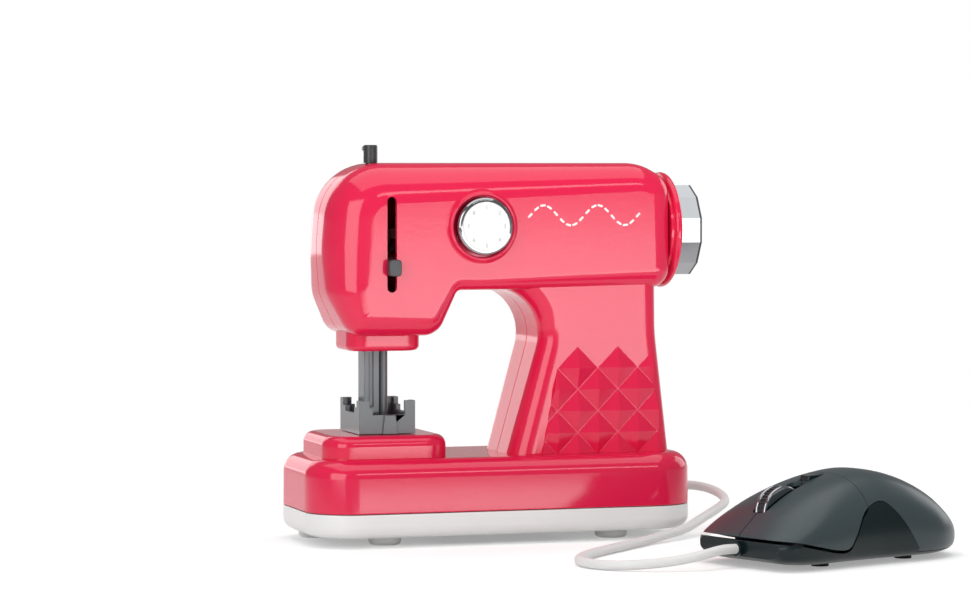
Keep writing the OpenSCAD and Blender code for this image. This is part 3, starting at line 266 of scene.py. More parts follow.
def cornerArc(before, corner, after, steps):
    spot = Vector(corner[:2])
    if corner[2] == 0:
        return [(spot.x, spot.y, corner[3])]
    u = (Vector(before[:2]) - spot).normalized()
    v = (Vector(after[:2]) - spot).normalized()
    half = acos(u.dot(v)) / 2
    middle = spot + (u + v).normalized() * corner[2] / sin(half)
    first = spot + u * corner[2] / tan(half) - middle
    last = spot + v * corner[2] / tan(half) - middle
    start = atan2(first.y, first.x)
    turn = (atan2(last.y, last.x) - start + pi) % (2 * pi) - pi
    angles = [start + turn * k / steps for k in range(steps + 1)]
    return [(middle.x + corner[2] * cos(a), middle.y + corner[2] * sin(a), corner[3]) for a in angles]


def outline(corners, steps):
    count = len(corners)
    points = []
    for i in range(count):
        points += cornerArc(corners[i - 1], corners[i], corners[(i + 1) % count], steps)
    return points


def inwardWays(points):
    ways = []
    for i in range(len(points)):
        spot = Vector(points[i][:2])
        u = (spot - Vector(points[i - 1][:2])).normalized()
        v = (Vector(points[(i + 1) % len(points)][:2]) - spot).normalized()
        along = (u + v).normalized()
        ways.append(Vector((-along.y, along.x)) / along.dot(v))
    return ways


def spreadEdges(points, reach):
    # evens out the edge rounding along the way round, over the reach to either side
    steps = [(Vector(b[:2]) - Vector(a[:2])).length for a, b in zip(points, points[1:] + points[:1])]
    marks = [sum(steps[:i]) for i in range(len(points))]
    whole = sum(steps)
    out = []
    for p, mark in zip(points, marks):
        gaps = [min(abs(mark - other), whole - abs(mark - other)) for other in marks]
        shares = [max(0, 1 - gap / reach) * (steps[i - 1] + steps[i]) for i, gap in enumerate(gaps)]
        out.append((p[0], p[1], sum(share * q[2] for share, q in zip(shares, points)) / sum(shares)))
    return out


def divided(points, longest):
    # long straight runs get points of their own
    out = []
    for a, b in zip(points, points[1:] + points[:1]):
        parts = max(1, round((Vector(b[:2]) - Vector(a[:2])).length / longest))
        out += [tuple(a[k] + (b[k] - a[k]) * i / parts for k in range(3)) for i in range(parts)]
    return out


def halfRings(points, inset, half, side, steps, seam):
    # from the seam at the middle to the flat face
    ways = inwardWays(points)
    rings = []
    for depth, groove in seam:
        rings.append([Vector((p[0] + w.x * (inset + groove), side * depth, p[1] + w.y * (inset + groove)))
                      for p, w in zip(points, ways)])
    for k in range(steps + 1):
        turn = pi / 2 * k / steps
        ring = []
        for p, w in zip(points, ways):
            edge = max(p[2] - inset, 0.5)
            drawn = inset + edge * (1 - cos(turn))
            depth = half - inset - edge * (1 - sin(turn))
            ring.append(Vector((p[0] + w.x * drawn, side * depth, p[1] + w.y * drawn)))
        rings.append(ring)
    return rings


# Camera and light

view = {
    "spot": (-493.9, -1352.2, 157.2),
    "pitch": 2.141,
    "azimuth": -17.81,
    "lens": 129.05,
    "sensor": 36,
    "reach": 50,
}


def addCamera():
    data = bpy.data.cameras.new("camera")
    data.sensor_width = view["sensor"]
    data.lens = view["lens"]
    data.clip_end = view["reach"]
    camera = bpy.data.objects.new("camera", data)
    camera.location = Vector(view["spot"]) * mm
    camera.rotation_euler = (radians(90 - view["pitch"]), 0, radians(view["azimuth"]))
    bpy.context.scene.collection.objects.link(camera)
    bpy.context.scene.camera = camera


lamps = [
    # name, azimuth from the front, elevation, distance, width, height, brightness
    ("front strip", 13.5, 30, 2.0, 0.9, 0.2, 4.6),
    ("front panel", 14, -0.7, 3.5, 1.15, 0.09, 5.2),
    ("left softbox", -47, 16, 1.6, 1.0, 1.0, 3.2),
    ("rear softbox", -166, 15, 1.6, 0.7, 0.9, 1.6),
    ("right softbox", 112, 18, 1.7, 0.9, 0.9, 1.9),
    ("overhead softbox", 0, 89, 1.6, 2.0, 2.0, 1.5),
]
cards = [
    # name, azimuth from the front, near edge, far edge, width, brightness; they lie on the floor and face up
    ("front card", 15, 0.46, 3.4, 0.8, 5.0),
]
room = {
    "aim": (0.0, 0.03, 0.09), "cardRise": 0.004, "floorSize": 60,
    "backWay": (0.306, 0.952, 0.0), "backStart": 0.55, "backFull": 0.8,
    "back": 1.0, "front": 0.42, "top": 0.26, "backHigh": 0.053, "topLow": 0.08,
    "floorTone": 0.82, "floorGlow": 0.33, "floorNear": 0.35, "floorFar": 0.9, "floorSide": 0.5,
}


def addLamp(name, width, height, brightness):
    data = bpy.data.lights.new(name, "AREA")
    data.shape = "RECTANGLE"
    data.size = width
    data.size_y = height
    data.energy = brightness * pi * width * height
    lamp = bpy.data.objects.new(name, data)
    lamp.visible_camera = False
    bpy.context.scene.collection.objects.link(lamp)
    return lamp


def addLamps():
    aim = Vector(room["aim"])
    for name, azimuth, elevation, distance, width, height, brightness in lamps:
        around, up = radians(azimuth), radians(elevation)
        way = Vector((sin(around) * cos(up), -cos(around) * cos(up), sin(up)))
        lamp = addLamp(name, width, height, brightness)
        lamp.location = aim + way * distance
        lamp.rotation_euler = (-way).to_track_quat("-Z", "Y").to_euler()
    for name, azimuth, near, far, width, brightness in cards:
        around, middle = radians(azimuth), (near + far) / 2
        lamp = addLamp(name, width, far - near, brightness)
        lamp.location = (aim.x + sin(around) * middle, aim.y - cos(around) * middle, room["cardRise"])
        lamp.rotation_euler = (pi, 0, around)


def rangeNode(tree, low, high, first, last):
    node = tree.nodes.new("ShaderNodeMapRange")
    node.interpolation_type = "SMOOTHSTEP"
    for name, value in (("From Min", low), ("From Max", high), ("To Min", first), ("To Max", last)):
        node.inputs[name].default_value = value
    return node


def backShare(tree, place, first, last):
    # first everywhere, and last towards the back of the room
    level = tree.nodes.new("ShaderNodeVectorMath")
    level.operation = "NORMALIZE"
    facing = tree.nodes.new("ShaderNodeVectorMath")
    facing.operation = "DOT_PRODUCT"
    facing.inputs[1].default_value = room["backWay"]
    share = rangeNode(tree, room["backStart"], room["backFull"], first, last)
    tree.links.new(place, level.inputs[0])
    tree.links.new(level.outputs["Vector"], facing.inputs[0])
    tree.links.new(facing.outputs["Value"], share.inputs["Value"])
    return share.outputs["Result"]


def addRoom():
    # white behind the object, grey in front of it and above
    world = bpy.data.worlds.new("studio")
    bpy.context.scene.world = world
    world.use_nodes = True
    tree = world.node_tree
    tree.nodes.clear()
    way = tree.nodes.new("ShaderNodeTexCoord")
    split = tree.nodes.new("ShaderNodeSeparateXYZ")
    height = rangeNode(tree, room["backHigh"], room["topLow"], 0, 1)
    mix = tree.nodes.new("ShaderNodeMix")
    mix.data_type = "FLOAT"
    shade = tree.nodes.new("ShaderNodeBackground")
    shade.inputs["Color"].default_value = (1, 1, 1, 1)
    out = tree.nodes.new("ShaderNodeOutputWorld")
    tree.links.new(way.outputs["Generated"], split.inputs[0])
    tree.links.new(split.outputs["Z"], height.inputs["Value"])
    tree.links.new(height.outputs["Result"], mix.inputs[0])
    tree.links.new(backShare(tree, way.outputs["Generated"], room["front"], room["back"]), mix.inputs[2])
    mix.inputs[3].default_value = room["top"]
    tree.links.new(mix.outputs[0], shade.inputs["Strength"])
    tree.links.new(shade.outputs[0], out.inputs[0])


def addFloor():
    dropSelection()
    bpy.ops.mesh.primitive_plane_add(size=room["floorSize"], location=(0, 0, 0))
    floor = bpy.context.object
    floor.name = "floor"
    made = bpy.data.materials.new("pale floor")
    made.use_nodes = True
    tree = made.node_tree
    tree.nodes.clear()
    rays = tree.nodes.new("ShaderNodeLightPath")
    seen = tree.nodes.new("ShaderNodeMath")
    seen.operation = "MAXIMUM"
    glow = tree.nodes.new("ShaderNodeMath")
    glow.operation = "MULTIPLY"
    glow.inputs[1].default_value = room["floorGlow"]
    matte = tree.nodes.new("ShaderNodeBsdfDiffuse")
    matte.inputs["Color"].default_value = (room["floorTone"],) * 3 + (1,)
    light = tree.nodes.new("ShaderNodeEmission")
    near = tree.nodes.new("ShaderNodeAddShader")
    far = tree.nodes.new("ShaderNodeEmission")
    place = tree.nodes.new("ShaderNodeTexCoord")
    away = tree.nodes.new("ShaderNodeVectorMath")
    away.operation = "LENGTH"
    fade = rangeNode(tree, room["floorNear"], room["floorFar"], 0, 1)
    both = tree.nodes.new("ShaderNodeMixShader")
    out = tree.nodes.new("ShaderNodeOutputMaterial")
    tree.links.new(rays.outputs["Is Camera Ray"], seen.inputs[0])
    tree.links.new(rays.outputs["Is Glossy Ray"], seen.inputs[1])
    tree.links.new(seen.outputs[0], glow.inputs[0])
    tree.links.new(glow.outputs[0], light.inputs["Strength"])
    tree.links.new(matte.outputs[0], near.inputs[0])
    tree.links.new(light.outputs[0], near.inputs[1])
    tree.links.new(place.outputs["Object"], away.inputs[0])
    tree.links.new(away.outputs["Value"], fade.inputs["Value"])
    tree.links.new(fade.outputs["Result"], both.inputs["Fac"])
    tree.links.new(near.outputs[0], both.inputs[1])
    tree.links.new(far.outputs[0], both.inputs[2])
    tree.links.new(backShare(tree, place.outputs["Object"], room["floorSide"], room["back"]), far.inputs["Strength"])
    tree.links.new(both.outputs[0], out.inputs[0])
    floor.data.materials.append(made)


bpy.context.scene.view_settings.view_transform = "Standard"
addCamera()
addLamps()
addRoom()
addFloor()
print("camera, lamps and floor are up")


# Materials

def groupSocket(group, name, direction, kind, value=None):
    socket = group.interface.new_socket(name=name, in_out=direction, socket_type=kind)
    if value is not None:
        socket.default_value = value
    return socket


def mouldedGroup():
    # colour drift, faint handling marks and the ripple of a moulded skin
    group = bpy.data.node_groups.new("moulded skin", "ShaderNodeTree")
    groupSocket(group, "Color", "INPUT", "NodeSocketColor", (0.8, 0.8, 0.8, 1))
    groupSocket(group, "Drift", "INPUT", "NodeSocketFloat", 0.04)
    groupSocket(group, "Roughness", "INPUT", "NodeSocketFloat", 0.2)
    groupSocket(group, "Marks", "INPUT", "NodeSocketFloat", 0.05)
    groupSocket(group, "Ripple", "INPUT", "NodeSocketFloat", 0.02)
    groupSocket(group, "Color", "OUTPUT", "NodeSocketColor")
    groupSocket(group, "Roughness", "OUTPUT", "NodeSocketFloat")
    groupSocket(group, "Normal", "OUTPUT", "NodeSocketVector")
    nodes, links = group.nodes, group.links
    entry = nodes.new("NodeGroupInput")
    leave = nodes.new("NodeGroupOutput")
    place = nodes.new("ShaderNodeTexCoord")
    cloud = nodes.new("ShaderNodeTexNoise")
    cloud.inputs["Scale"].default_value = 22
    cloud.inputs["Detail"].default_value = 3
    links.new(place.outputs["Object"], cloud.inputs["Vector"])
    lift = nodes.new("ShaderNodeMath")
    lift.operation = "SUBTRACT"
    lift.inputs[1].default_value = 0.5
    links.new(cloud.outputs["Fac"], lift.inputs[0])
    amount = nodes.new("ShaderNodeMath")
    amount.operation = "MULTIPLY_ADD"
    amount.inputs[2].default_value = 1
    links.new(lift.outputs[0], amount.inputs[0])
    links.new(entry.outputs["Drift"], amount.inputs[1])
    tint = nodes.new("ShaderNodeHueSaturation")
    links.new(amount.outputs[0], tint.inputs["Value"])
    links.new(entry.outputs["Color"], tint.inputs["Color"])
    links.new(tint.outputs["Color"], leave.inputs["Color"])
    smear = nodes.new("ShaderNodeTexNoise")
    smear.inputs["Scale"].default_value = 160
    smear.inputs["Detail"].default_value = 6
    smear.inputs["Roughness"].default_value = 0.65
    stretch = nodes.new("ShaderNodeMapping")
    stretch.inputs["Scale"].default_value = (1, 0.35, 0.5)
    stretch.inputs["Rotation"].default_value = (0.4, 0.3, 0.6)
    links.new(place.outputs["Object"], stretch.inputs["Vector"])
    links.new(stretch.outputs[0], smear.inputs["Vector"])
    rough = nodes.new("ShaderNodeMath")
    rough.operation = "MULTIPLY_ADD"
    links.new(smear.outputs["Fac"], rough.inputs[0])
    links.new(entry.outputs["Marks"], rough.inputs[1])
    links.new(entry.outputs["Roughness"], rough.inputs[2])
    links.new(rough.outputs[0], leave.inputs["Roughness"])
    ripple = nodes.new("ShaderNodeTexNoise")
    ripple.inputs["Scale"].default_value = 420
    ripple.inputs["Detail"].default_value = 2
    links.new(place.outputs["Object"], ripple.inputs["Vector"])
    bump = nodes.new("ShaderNodeBump")
    bump.inputs["Distance"].default_value = 0.0004
    links.new(entry.outputs["Ripple"], bump.inputs["Strength"])
    links.new(ripple.outputs["Fac"], bump.inputs["Height"])
    links.new(bump.outputs["Normal"], leave.inputs["Normal"])
    return group


def brushedGroup():
    # fine turning lines and a little tarnish on metal
    group = bpy.data.node_groups.new("metal skin", "ShaderNodeTree")
    groupSocket(group, "Color", "INPUT", "NodeSocketColor", (0.7, 0.7, 0.72, 1))
    groupSocket(group, "Roughness", "INPUT", "NodeSocketFloat", 0.1)
    groupSocket(group, "Lines", "INPUT", "NodeSocketFloat", 0.1)
    groupSocket(group, "Color", "OUTPUT", "NodeSocketColor")
    groupSocket(group, "Roughness", "OUTPUT", "NodeSocketFloat")
    nodes, links = group.nodes, group.links
    entry = nodes.new("NodeGroupInput")
    leave = nodes.new("NodeGroupOutput")
    place = nodes.new("ShaderNodeTexCoord")
    stretch = nodes.new("ShaderNodeMapping")
    stretch.inputs["Scale"].default_value = (3200, 120, 120)
    links.new(place.outputs["Object"], stretch.inputs["Vector"])
    lines = nodes.new("ShaderNodeTexNoise")
    lines.inputs["Scale"].default_value = 1
    lines.inputs["Detail"].default_value = 3
    links.new(stretch.outputs[0], lines.inputs["Vector"])
    rough = nodes.new("ShaderNodeMath")
    rough.operation = "MULTIPLY_ADD"
    links.new(lines.outputs["Fac"], rough.inputs[0])
    links.new(entry.outputs["Lines"], rough.inputs[1])
    links.new(entry.outputs["Roughness"], rough.inputs[2])
    links.new(rough.outputs[0], leave.inputs["Roughness"])
    spots = nodes.new("ShaderNodeTexNoise")
    spots.inputs["Scale"].default_value = 90
    spots.inputs["Detail"].default_value = 4
    links.new(place.outputs["Object"], spots.inputs["Vector"])
    dull = nodes.new("ShaderNodeMapRange")
    dull.inputs["To Min"].default_value = 0.94
    dull.inputs["To Max"].default_value = 1.04
    links.new(spots.outputs["Fac"], dull.inputs["Value"])
    tint = nodes.new("ShaderNodeHueSaturation")
    links.new(dull.outputs[0], tint.inputs["Value"])
    links.new(entry.outputs["Color"], tint.inputs["Color"])
    links.new(tint.outputs["Color"], leave.inputs["Color"])
    return group


mouldedSkin = mouldedGroup()
metalSkin = brushedGroup()


def skinned(name, group, color, roughness, **amounts):
    made = bpy.data.materials.new(name)
    made.use_nodes = True
    tree = made.node_tree
    shader = tree.nodes["Principled BSDF"]
    skin = tree.nodes.new("ShaderNodeGroup")
    skin.node_tree = group
    skin.inputs["Color"].default_value = (*color, 1)
    skin.inputs["Roughness"].default_value = roughness
    for key, value in amounts.items():
        skin.inputs[key].default_value = value
    tree.links.new(skin.outputs["Color"], shader.inputs["Base Color"])
    tree.links.new(skin.outputs["Roughness"], shader.inputs["Roughness"])
    return made, tree, shader, skin


def plastic(name, color, roughness, drift=0.05, marks=0.05, ripple=0.03, bend=1.5):
    made, tree, shader, skin = skinned(name, mouldedSkin, color, roughness, Drift=drift, Marks=marks, Ripple=ripple)
    tree.links.new(skin.outputs["Normal"], shader.inputs["Normal"])
    shader.inputs["IOR"].default_value = bend
    return made


def metal(name, color, roughness, lines):
    made, _, shader, _ = skinned(name, metalSkin, color, roughness, Lines=lines)
    shader.inputs["Metallic"].default_value = 1
    return made


pinkGloss = plastic("pink gloss plastic", (0.78, 0.014, 0.072), 0.09, marks=0.04, ripple=0.02)
whiteGloss = plastic("white plastic", (0.87, 0.87, 0.86), 0.28, drift=0.03)
greyGloss = plastic("grey gloss plastic", (0.13, 0.145, 0.155), 0.2, marks=0.08)
darkGloss = plastic("dark plastic", (0.035, 0.038, 0.042), 0.25, marks=0.1)
controlUpper = plastic("control upper gloss", (0.042, 0.06, 0.066), 0.28, bend=1.42)
controlLower = plastic("control lower gloss", (0.005, 0.013, 0.014), 0.22, marks=0.08, bend=1.36)
gearWhite = plastic("gear plastic", (0.72, 0.7, 0.62), 0.45, marks=0.15, ripple=0.08)
leadWhite = plastic("lead rubber", (0.8, 0.8, 0.79), 0.4, marks=0.1, ripple=0.05)
footRubber = plastic("foot rubber", (0.012, 0.013, 0.013), 0.65, marks=0.15, ripple=0.15)
boardGreen = plastic("board lacquer", (0.02, 0.12, 0.05), 0.3, drift=0.2)
cellWrap = plastic("cell sleeve", (0.09, 0.16, 0.09), 0.35, marks=0.12)
dialGrey = plastic("dial print", (0.42, 0.42, 0.43), 0.4)
chromePlate = metal("chrome plate", (0.35, 0.36, 0.375), 0.03, 0.04)
zincSteel = metal("zinc plated steel", (0.55, 0.56, 0.58), 0.22, 0.2)
brassPlate = metal("machined brass", (0.62, 0.43, 0.16), 0.2, 0.2)
print("materials are mixed")


# Lead

lead = {
    "diameter": 4.0,
    "route": [
        (92, 6, 19), (98, 6.2, 18.6), (103.5, 4.5, 17.5), (107, 0.8, 15.8), (108, -4, 14), (106.5, -8.6, 12.4),
        (103, -12.6, 11), (98, -17, 9.4), (93, -21.2, 8), (85.8, -28.2, 6.2), (78, -36, 4.6), (66, -45.5, 3.2),
        (55, -54.5, 2.4), (42, -67, 2.1), (32, -77, 2.1), (22, -87, 2.1), (13.5, -96.5, 2.1), (6, -107, 2.1),
        (1.6, -116, 2.1), (0.8, -126, 2.1), (5, -136, 2.1), (14, -143.4, 2.6), (28, -148.6, 4),
        (40, -149.6, 6), (50.5, -146.6, 7.6), (57.1, -144.2, 7.6),
    ],
}


def addLead():
    route = [(Vector(p) + machineSpot) * mm for p in lead["route"]]
    data = bpy.data.curves.new("lead", "CURVE")
    data.dimensions = "3D"
    data.resolution_u = 8
    data.bevel_depth = lead["diameter"] / 2 * mm
    data.bevel_resolution = 6
    data.use_fill_caps = True
    line = data.splines.new("BEZIER")
    line.bezier_points.add(len(route) - 1)
    for i, (point, spot) in enumerate(zip(line.bezier_points, route)):
        before, after = route[max(i - 1, 0)], route[min(i + 1, len(route) - 1)]
        way = (after - before).normalized()
        point.co = spot
        point.handle_left_type = point.handle_right_type = "FREE"
        point.handle_left = spot - way * (spot - before).length / 3
        point.handle_right = spot + way * (after - spot).length / 3
    obj = bpy.data.objects.new("lead", data)
    bpy.context.scene.collection.objects.link(obj)
    data.materials.append(leadWhite)
    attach(obj, "machine")
    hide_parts("cord")


addLead()


# Base

base = {
    "length": 170.0, "depth": 73.0, "corner": 20.0,
    "trayLow": 4.1, "joint": 14.3, "jointGap": 0.25, "top": 36.6, "draft": 0.056,
    "topEdge": 7.5, "coverEdge": 0.5, "trayEdge": 5.0, "trayRim": 0.4, "footEdge": 0.6,
    "bedLength": 54.0, "bedDepth": 52.0, "bedMiddle": -50.0, "bedCorner": 12.0, "bedTop": 46.0, "bedEdge": 4.5,
    "bedSunk": 3.0,
}


def addBase():
    l, d = base["length"] / 2, base["depth"] / 2
    low = base["joint"] + base["jointGap"]
    cover = addBlock("base cover", (-l, -d, low), (l, d, base["top"]))
    roundUprights(cover, base["corner"], 18)
    roundRim(cover, base["top"], base["topEdge"], 10)
    roundRim(cover, low, base["coverEdge"], 2)
    # the front and back faces lean in
    for vert in cover.data.vertices:
        vert.co.y *= 1 - base["draft"] * (vert.co.z - base["joint"]) / d
    x, bedL, bedD = base["bedMiddle"], base["bedLength"] / 2, base["bedDepth"] / 2
    bed = addBlock("bed", (x - bedL, -bedD, base["top"] - base["bedSunk"]), (x + bedL, bedD, base["bedTop"]))
    roundUprights(bed, base["bedCorner"], 14)
    roundRim(bed, base["bedTop"], base["bedEdge"], 8)
    settle(joined("basePink", [cover, bed]), "machine", pinkGloss, ["base_cover"])
    tray = addBlock("baseWhite", (-l, -d, base["trayLow"]), (l, d, base["joint"]))
    roundUprights(tray, base["corner"], 18)
    roundRim(tray, base["trayLow"], base["trayEdge"], 8)
    roundRim(tray, base["joint"], base["trayRim"], 2)
    settle(tray, "machine", whiteGloss, ["base_tray"])
    feet = nodeCopy("feet", "base_feet")
    soften(feet, base["footEdge"])
    settle(feet, "machine", whiteGloss, ["base_feet"])


addBase()
print("base is in place")


# Arm, head and column

body = {
    "wall": 2.2, "armHalf": 25.0, "columnHalf": 22.0, "coverTop": 36.6, "columnTop": 116.0,
    "armHollowTop": 125.0, "evened": 18.0, "faceInset": 0.3, "fit": 0.1,
    "arm": [
        (-65.5, 87.5, 10, 9), (-27.5, 87.5, 9, 8), (-19.5, 106.6, 3, 4.5), (76.5, 106.6, 9, 8),
        (76.5, 153.0, 11, 9), (64.0, 160.2, 22, 12), (-72.5, 160.2, 25, 17), (-75.5, 123.2, 70, 18),
        (-74.2, 105.0, 20, 15),
    ],
    "column": [
        (0.83, 22.6, 0, 10), (78.25, 22.6, 0, 6), (70.6, 87.6, 90, 6), (69.9, 145.0, 0, 6),
        (-11.2, 145.0, 0, 8), (-11.2, 107.2, 0, 8), (24.8, 107.2, 20, 8),
    ],
    # slot: x, width, low, high; collar: x, length, depth, corner, low, high; holes: radius, then the start of the axis
    "slot": (-49.2, 4.2, 106.0, 146.0),
    "collar": (-48.5, 32.0, 30.0, 8.0, 81.0, 91.0),
    "pinHole": (2.3, (-51.5, 0, 150)),
    "shaftHole": (5.05, (72, 0, 131.3)),
    # depth and groove of the rings at the seam, and of the ring that opens a hollow
    "seam": [(0.02, 0.35), (0.35, 0.0)],
    "open": [(-3, 0)],
}


def armPoints():
    return divided(outline(body["arm"], 14), 3)


def columnPoints(top):
    corners = [(x, min(z, top), radius, edge) for x, z, radius, edge in body["column"]]
    return divided(outline(corners, 20), 6)


def halfShell(name, points, half, side):
    # one half from the seam to the flat face, open at the seam, with a narrow step round the flat face
    shell = growRings(name, halfRings(points, 0, half, side, 12, body["seam"]), False, True)
    chooseFaces(shell, lambda c, n: abs(n.y) > 0.999 and abs(c.y) > half - hair)
    bpy.ops.mesh.inset(thickness=body["faceInset"], use_even_offset=False)
    closeMesh()
    return shell


def hollowTool(points, half, side):
    return growRings("hollow", halfRings(points, body["wall"], half, side, 6, body["open"]))


def keepBetween(obj, low, high):
    openWhole(obj)
    bpy.ops.mesh.bisect(plane_co=(0, 0, low), plane_no=(0, 0, 1), clear_inner=True)
    bpy.ops.mesh.select_all(action="SELECT")
    bpy.ops.mesh.bisect(plane_co=(0, 0, high), plane_no=(0, 0, 1), clear_outer=True)
    closeMesh()


def rod(name, radius, length, axis, spot, segments):
    return spinProfile(name, [(0, 0), (radius, 0), (radius, length), (0, length)], axis, spot, segments)


def addShells():
    whole = max(z for _, z, _, _ in body["column"])
    arm, column = (spreadEdges(points, body["evened"]) for points in (armPoints(), columnPoints(whole)))
    for side, node in ((-1, "body_front_shell"), (1, "body_rear_shell")):
        word = "Front" if side < 0 else "Rear"
        armPiece = halfShell("arm" + word, arm, body["armHalf"], side)
        thicken(armPiece, body["wall"])
        cut(armPiece, hollowTool(columnPoints(body["armHollowTop"]), body["columnHalf"], side))
        cutOpenings(armPiece, side)
        columnPiece = halfShell("column" + word, column, body["columnHalf"], side)
        keepBetween(columnPiece, body["coverTop"], body["columnTop"])
        thicken(columnPiece, body["wall"])
        cut(columnPiece, hollowTool(arm, body["armHalf"], side))
        settle(armPiece, "machine", pinkGloss, [node], 30)
        settle(columnPiece, "machine", pinkGloss, (), 30)


def cutOpenings(piece, side):
    if side < 0:
        x, width, low, high = body["slot"]
        tool = addBlock("slot", (x - width / 2, -30, low), (x + width / 2, -19, high))
        chooseEdges(tool, lambda a, b: abs(a.y - b.y) > 5)
        bpy.ops.mesh.bevel(offset=width / 2 - hair, segments=10, profile=0.5)
        closeMesh()
        cut(piece, tool)
    x, length, depth, radius, low, high = body["collar"]
    l, d = length / 2 + body["fit"], depth / 2 + body["fit"]
    tool = addBlock("mouth", (x - l, -d, low), (x + l, d, high))
    roundUprights(tool, radius, 8)
    cut(piece, tool)
    radius, spot = body["pinHole"]
    cut(piece, rod("pin hole", radius, 20, (0, 0, 1), spot, 32))
    radius, spot = body["shaftHole"]
    cut(piece, rod("shaft hole", radius, 12, (1, 0, 0), spot, 32))


addShells()
print("shells are in place")

relief = {
    "pitch": 18.1, "row": 9.2, "rise": 2.4, "firstX": 33.9, "firstZ": 73.0, "rows": 5, "columns": (-1, 0, 1, 2),
    "gap": 0.1, "sunk": 1.0, "tip": 0.02, "edge": 0.18, "zoneDepths": (5, -6),
    "zone": [(17.8, 36.6), (72.0, 36.6), (66.4, 87.6), (27.6, 87.6)],
}


def addRelief():
    pieces = []
    for row in range(relief["rows"]):
        for col in relief["columns"]:
            dropSelection()
            bpy.ops.mesh.primitive_circle_add(vertices=4, radius=1, fill_type="NGON")
            gem = bpy.context.object
            bpy.ops.object.mode_set(mode="EDIT")
            bpy.ops.mesh.select_all(action="SELECT")
            bpy.ops.mesh.extrude_region_move(TRANSFORM_OT_translate={"value": (0, 0, relief["sunk"])})
            bpy.ops.mesh.extrude_region_move(TRANSFORM_OT_translate={"value": (0, 0, relief["rise"])})
            bpy.ops.transform.resize(value=(relief["tip"], relief["tip"], 1))
            bpy.ops.mesh.select_all(action="SELECT")
            bpy.ops.mesh.normals_make_consistent(inside=False)
            closeMesh()
            gem.scale = (relief["pitch"] / 2 - relief["gap"], relief["row"] - relief["gap"], 1)
            gem.rotation_euler = (pi / 2, 0, 0)
            gem.location = (relief["firstX"] + (col + (row % 2) / 2) * relief["pitch"],
                            -body["columnHalf"] + relief["sunk"], relief["firstZ"] - row * relief["row"])
            applyPlace()
            pieces.append(gem)
    gems = joined("columnDiamonds", pieces)
    zone = growRings("zone", [[Vector((x, -body["columnHalf"] + depth, z)) for x, z in relief["zone"]]
                              for depth in relief["zoneDepths"]])
    cut(gems, zone, "INTERSECT")
    soften(gems, relief["edge"], 2, 20)
    settle(gems, "machine", pinkGloss, (), 12)


addRelief()
print("diamonds are in place")

trim = {
    "dialX": -9.8, "dialZ": 133.5, "bezelIn": 12.9, "bezelOut": 14.7, "bezelRise": 2.2,
    "bezelFoot": [(1.2, -1), (1.0, 0.05), (0.3, 0.35)],
    "collarEdge": 2.2, "barWay": ((-56.05, -5.15, 70), (-48.65, 5.15, 100)), "rodWay": (2.35, 30, (-46.6, -1.5, 70)),
    "pin": [(0, 0), (2.2, 0), (2.2, 10), (3, 10), (3, 17.0), (2.85, 17.4), (2.4, 17.6), (0, 17.6)],
    "pinSpot": (-51.5, 0, 150.2), "hook": ((-55.05, -0.9, 165.2), (-53.5, 0.9, 167.5)), "hookEdge": 0.9,
    "ringFoot": [(5.05, 0), (22.4, 0), (22.5, 1.1), (23.2, 1.2)], "ringRound": ((23.4, 2.8), 1.6, -90, 60, 8),
    "ringEnd": [(22.4, 4.4), (21.6, 4.5), (5.05, 4.5)], "ringSpot": (76.5, 0, 131.3),
}


def arcPoints(middle, radius, start, end, steps):
    angles = [radians(start + (end - start) * k / steps) for k in range(steps + 1)]
    return [(middle[0] + radius * cos(a), middle[1] + radius * sin(a)) for a in angles]


def addTrim():
    rim = (trim["bezelOut"] - trim["bezelIn"]) / 2
    profile = [(trim["bezelIn"], -1)] + [(trim["bezelOut"] + out, height) for out, height in trim["bezelFoot"]]
    profile += arcPoints((trim["bezelIn"] + rim, trim["bezelRise"] - rim), rim, 0, 180, 10)
    bezel = spinProfile("dialBezel", profile, (0, -1, 0), (trim["dialX"], -body["armHalf"], trim["dialZ"]))
    settle(bezel, "machine", pinkGloss)
    x, length, depth, radius, low, high = body["collar"]
    collar = addBlock("needleCollar", (x - length / 2, -depth / 2, low), (x + length / 2, depth / 2, high))
    roundUprights(collar, radius, 12)
    roundRim(collar, low, trim["collarEdge"], 6)
    cut(collar, addBlock("bar way", *trim["barWay"]))
    radius, length, spot = trim["rodWay"]
    cut(collar, rod("rod way", radius, length, (0, 0, 1), spot, 24))
    settle(collar, "machine", pinkGloss, ["needle_collar"])
    pin = spinProfile("spoolPin", trim["pin"], (0, 0, 1), trim["pinSpot"], 48)
    hook = addBlock("hook", *trim["hook"])
    tip = trim["hook"][0][0] + 0.05
    chooseEdges(hook, lambda a, b: a.x < tip and b.x < tip and abs(a.y - b.y) > 1)
    bpy.ops.mesh.bevel(offset=trim["hookEdge"], segments=3, profile=0.5)
    closeMesh()
    settle(joined("spoolPin", [pin, hook]), "machine", darkGloss, ["spool_pin"])
    profile = trim["ringFoot"] + arcPoints(*trim["ringRound"]) + trim["ringEnd"]
    ring = spinProfile("armEndRing", profile, (1, 0, 0), trim["ringSpot"])
    settle(ring, "machine", pinkGloss, ["arm_end_ring"])


addTrim()

stitches = {"firstX": 11.5, "lastX": 60.0, "middleZ": 138.0, "swing": 4.2, "waves": 2, "count": 18,
            "length": 2.5, "width": 0.9, "rise": 0.12, "sunk": 0.1, "end": 0.44}


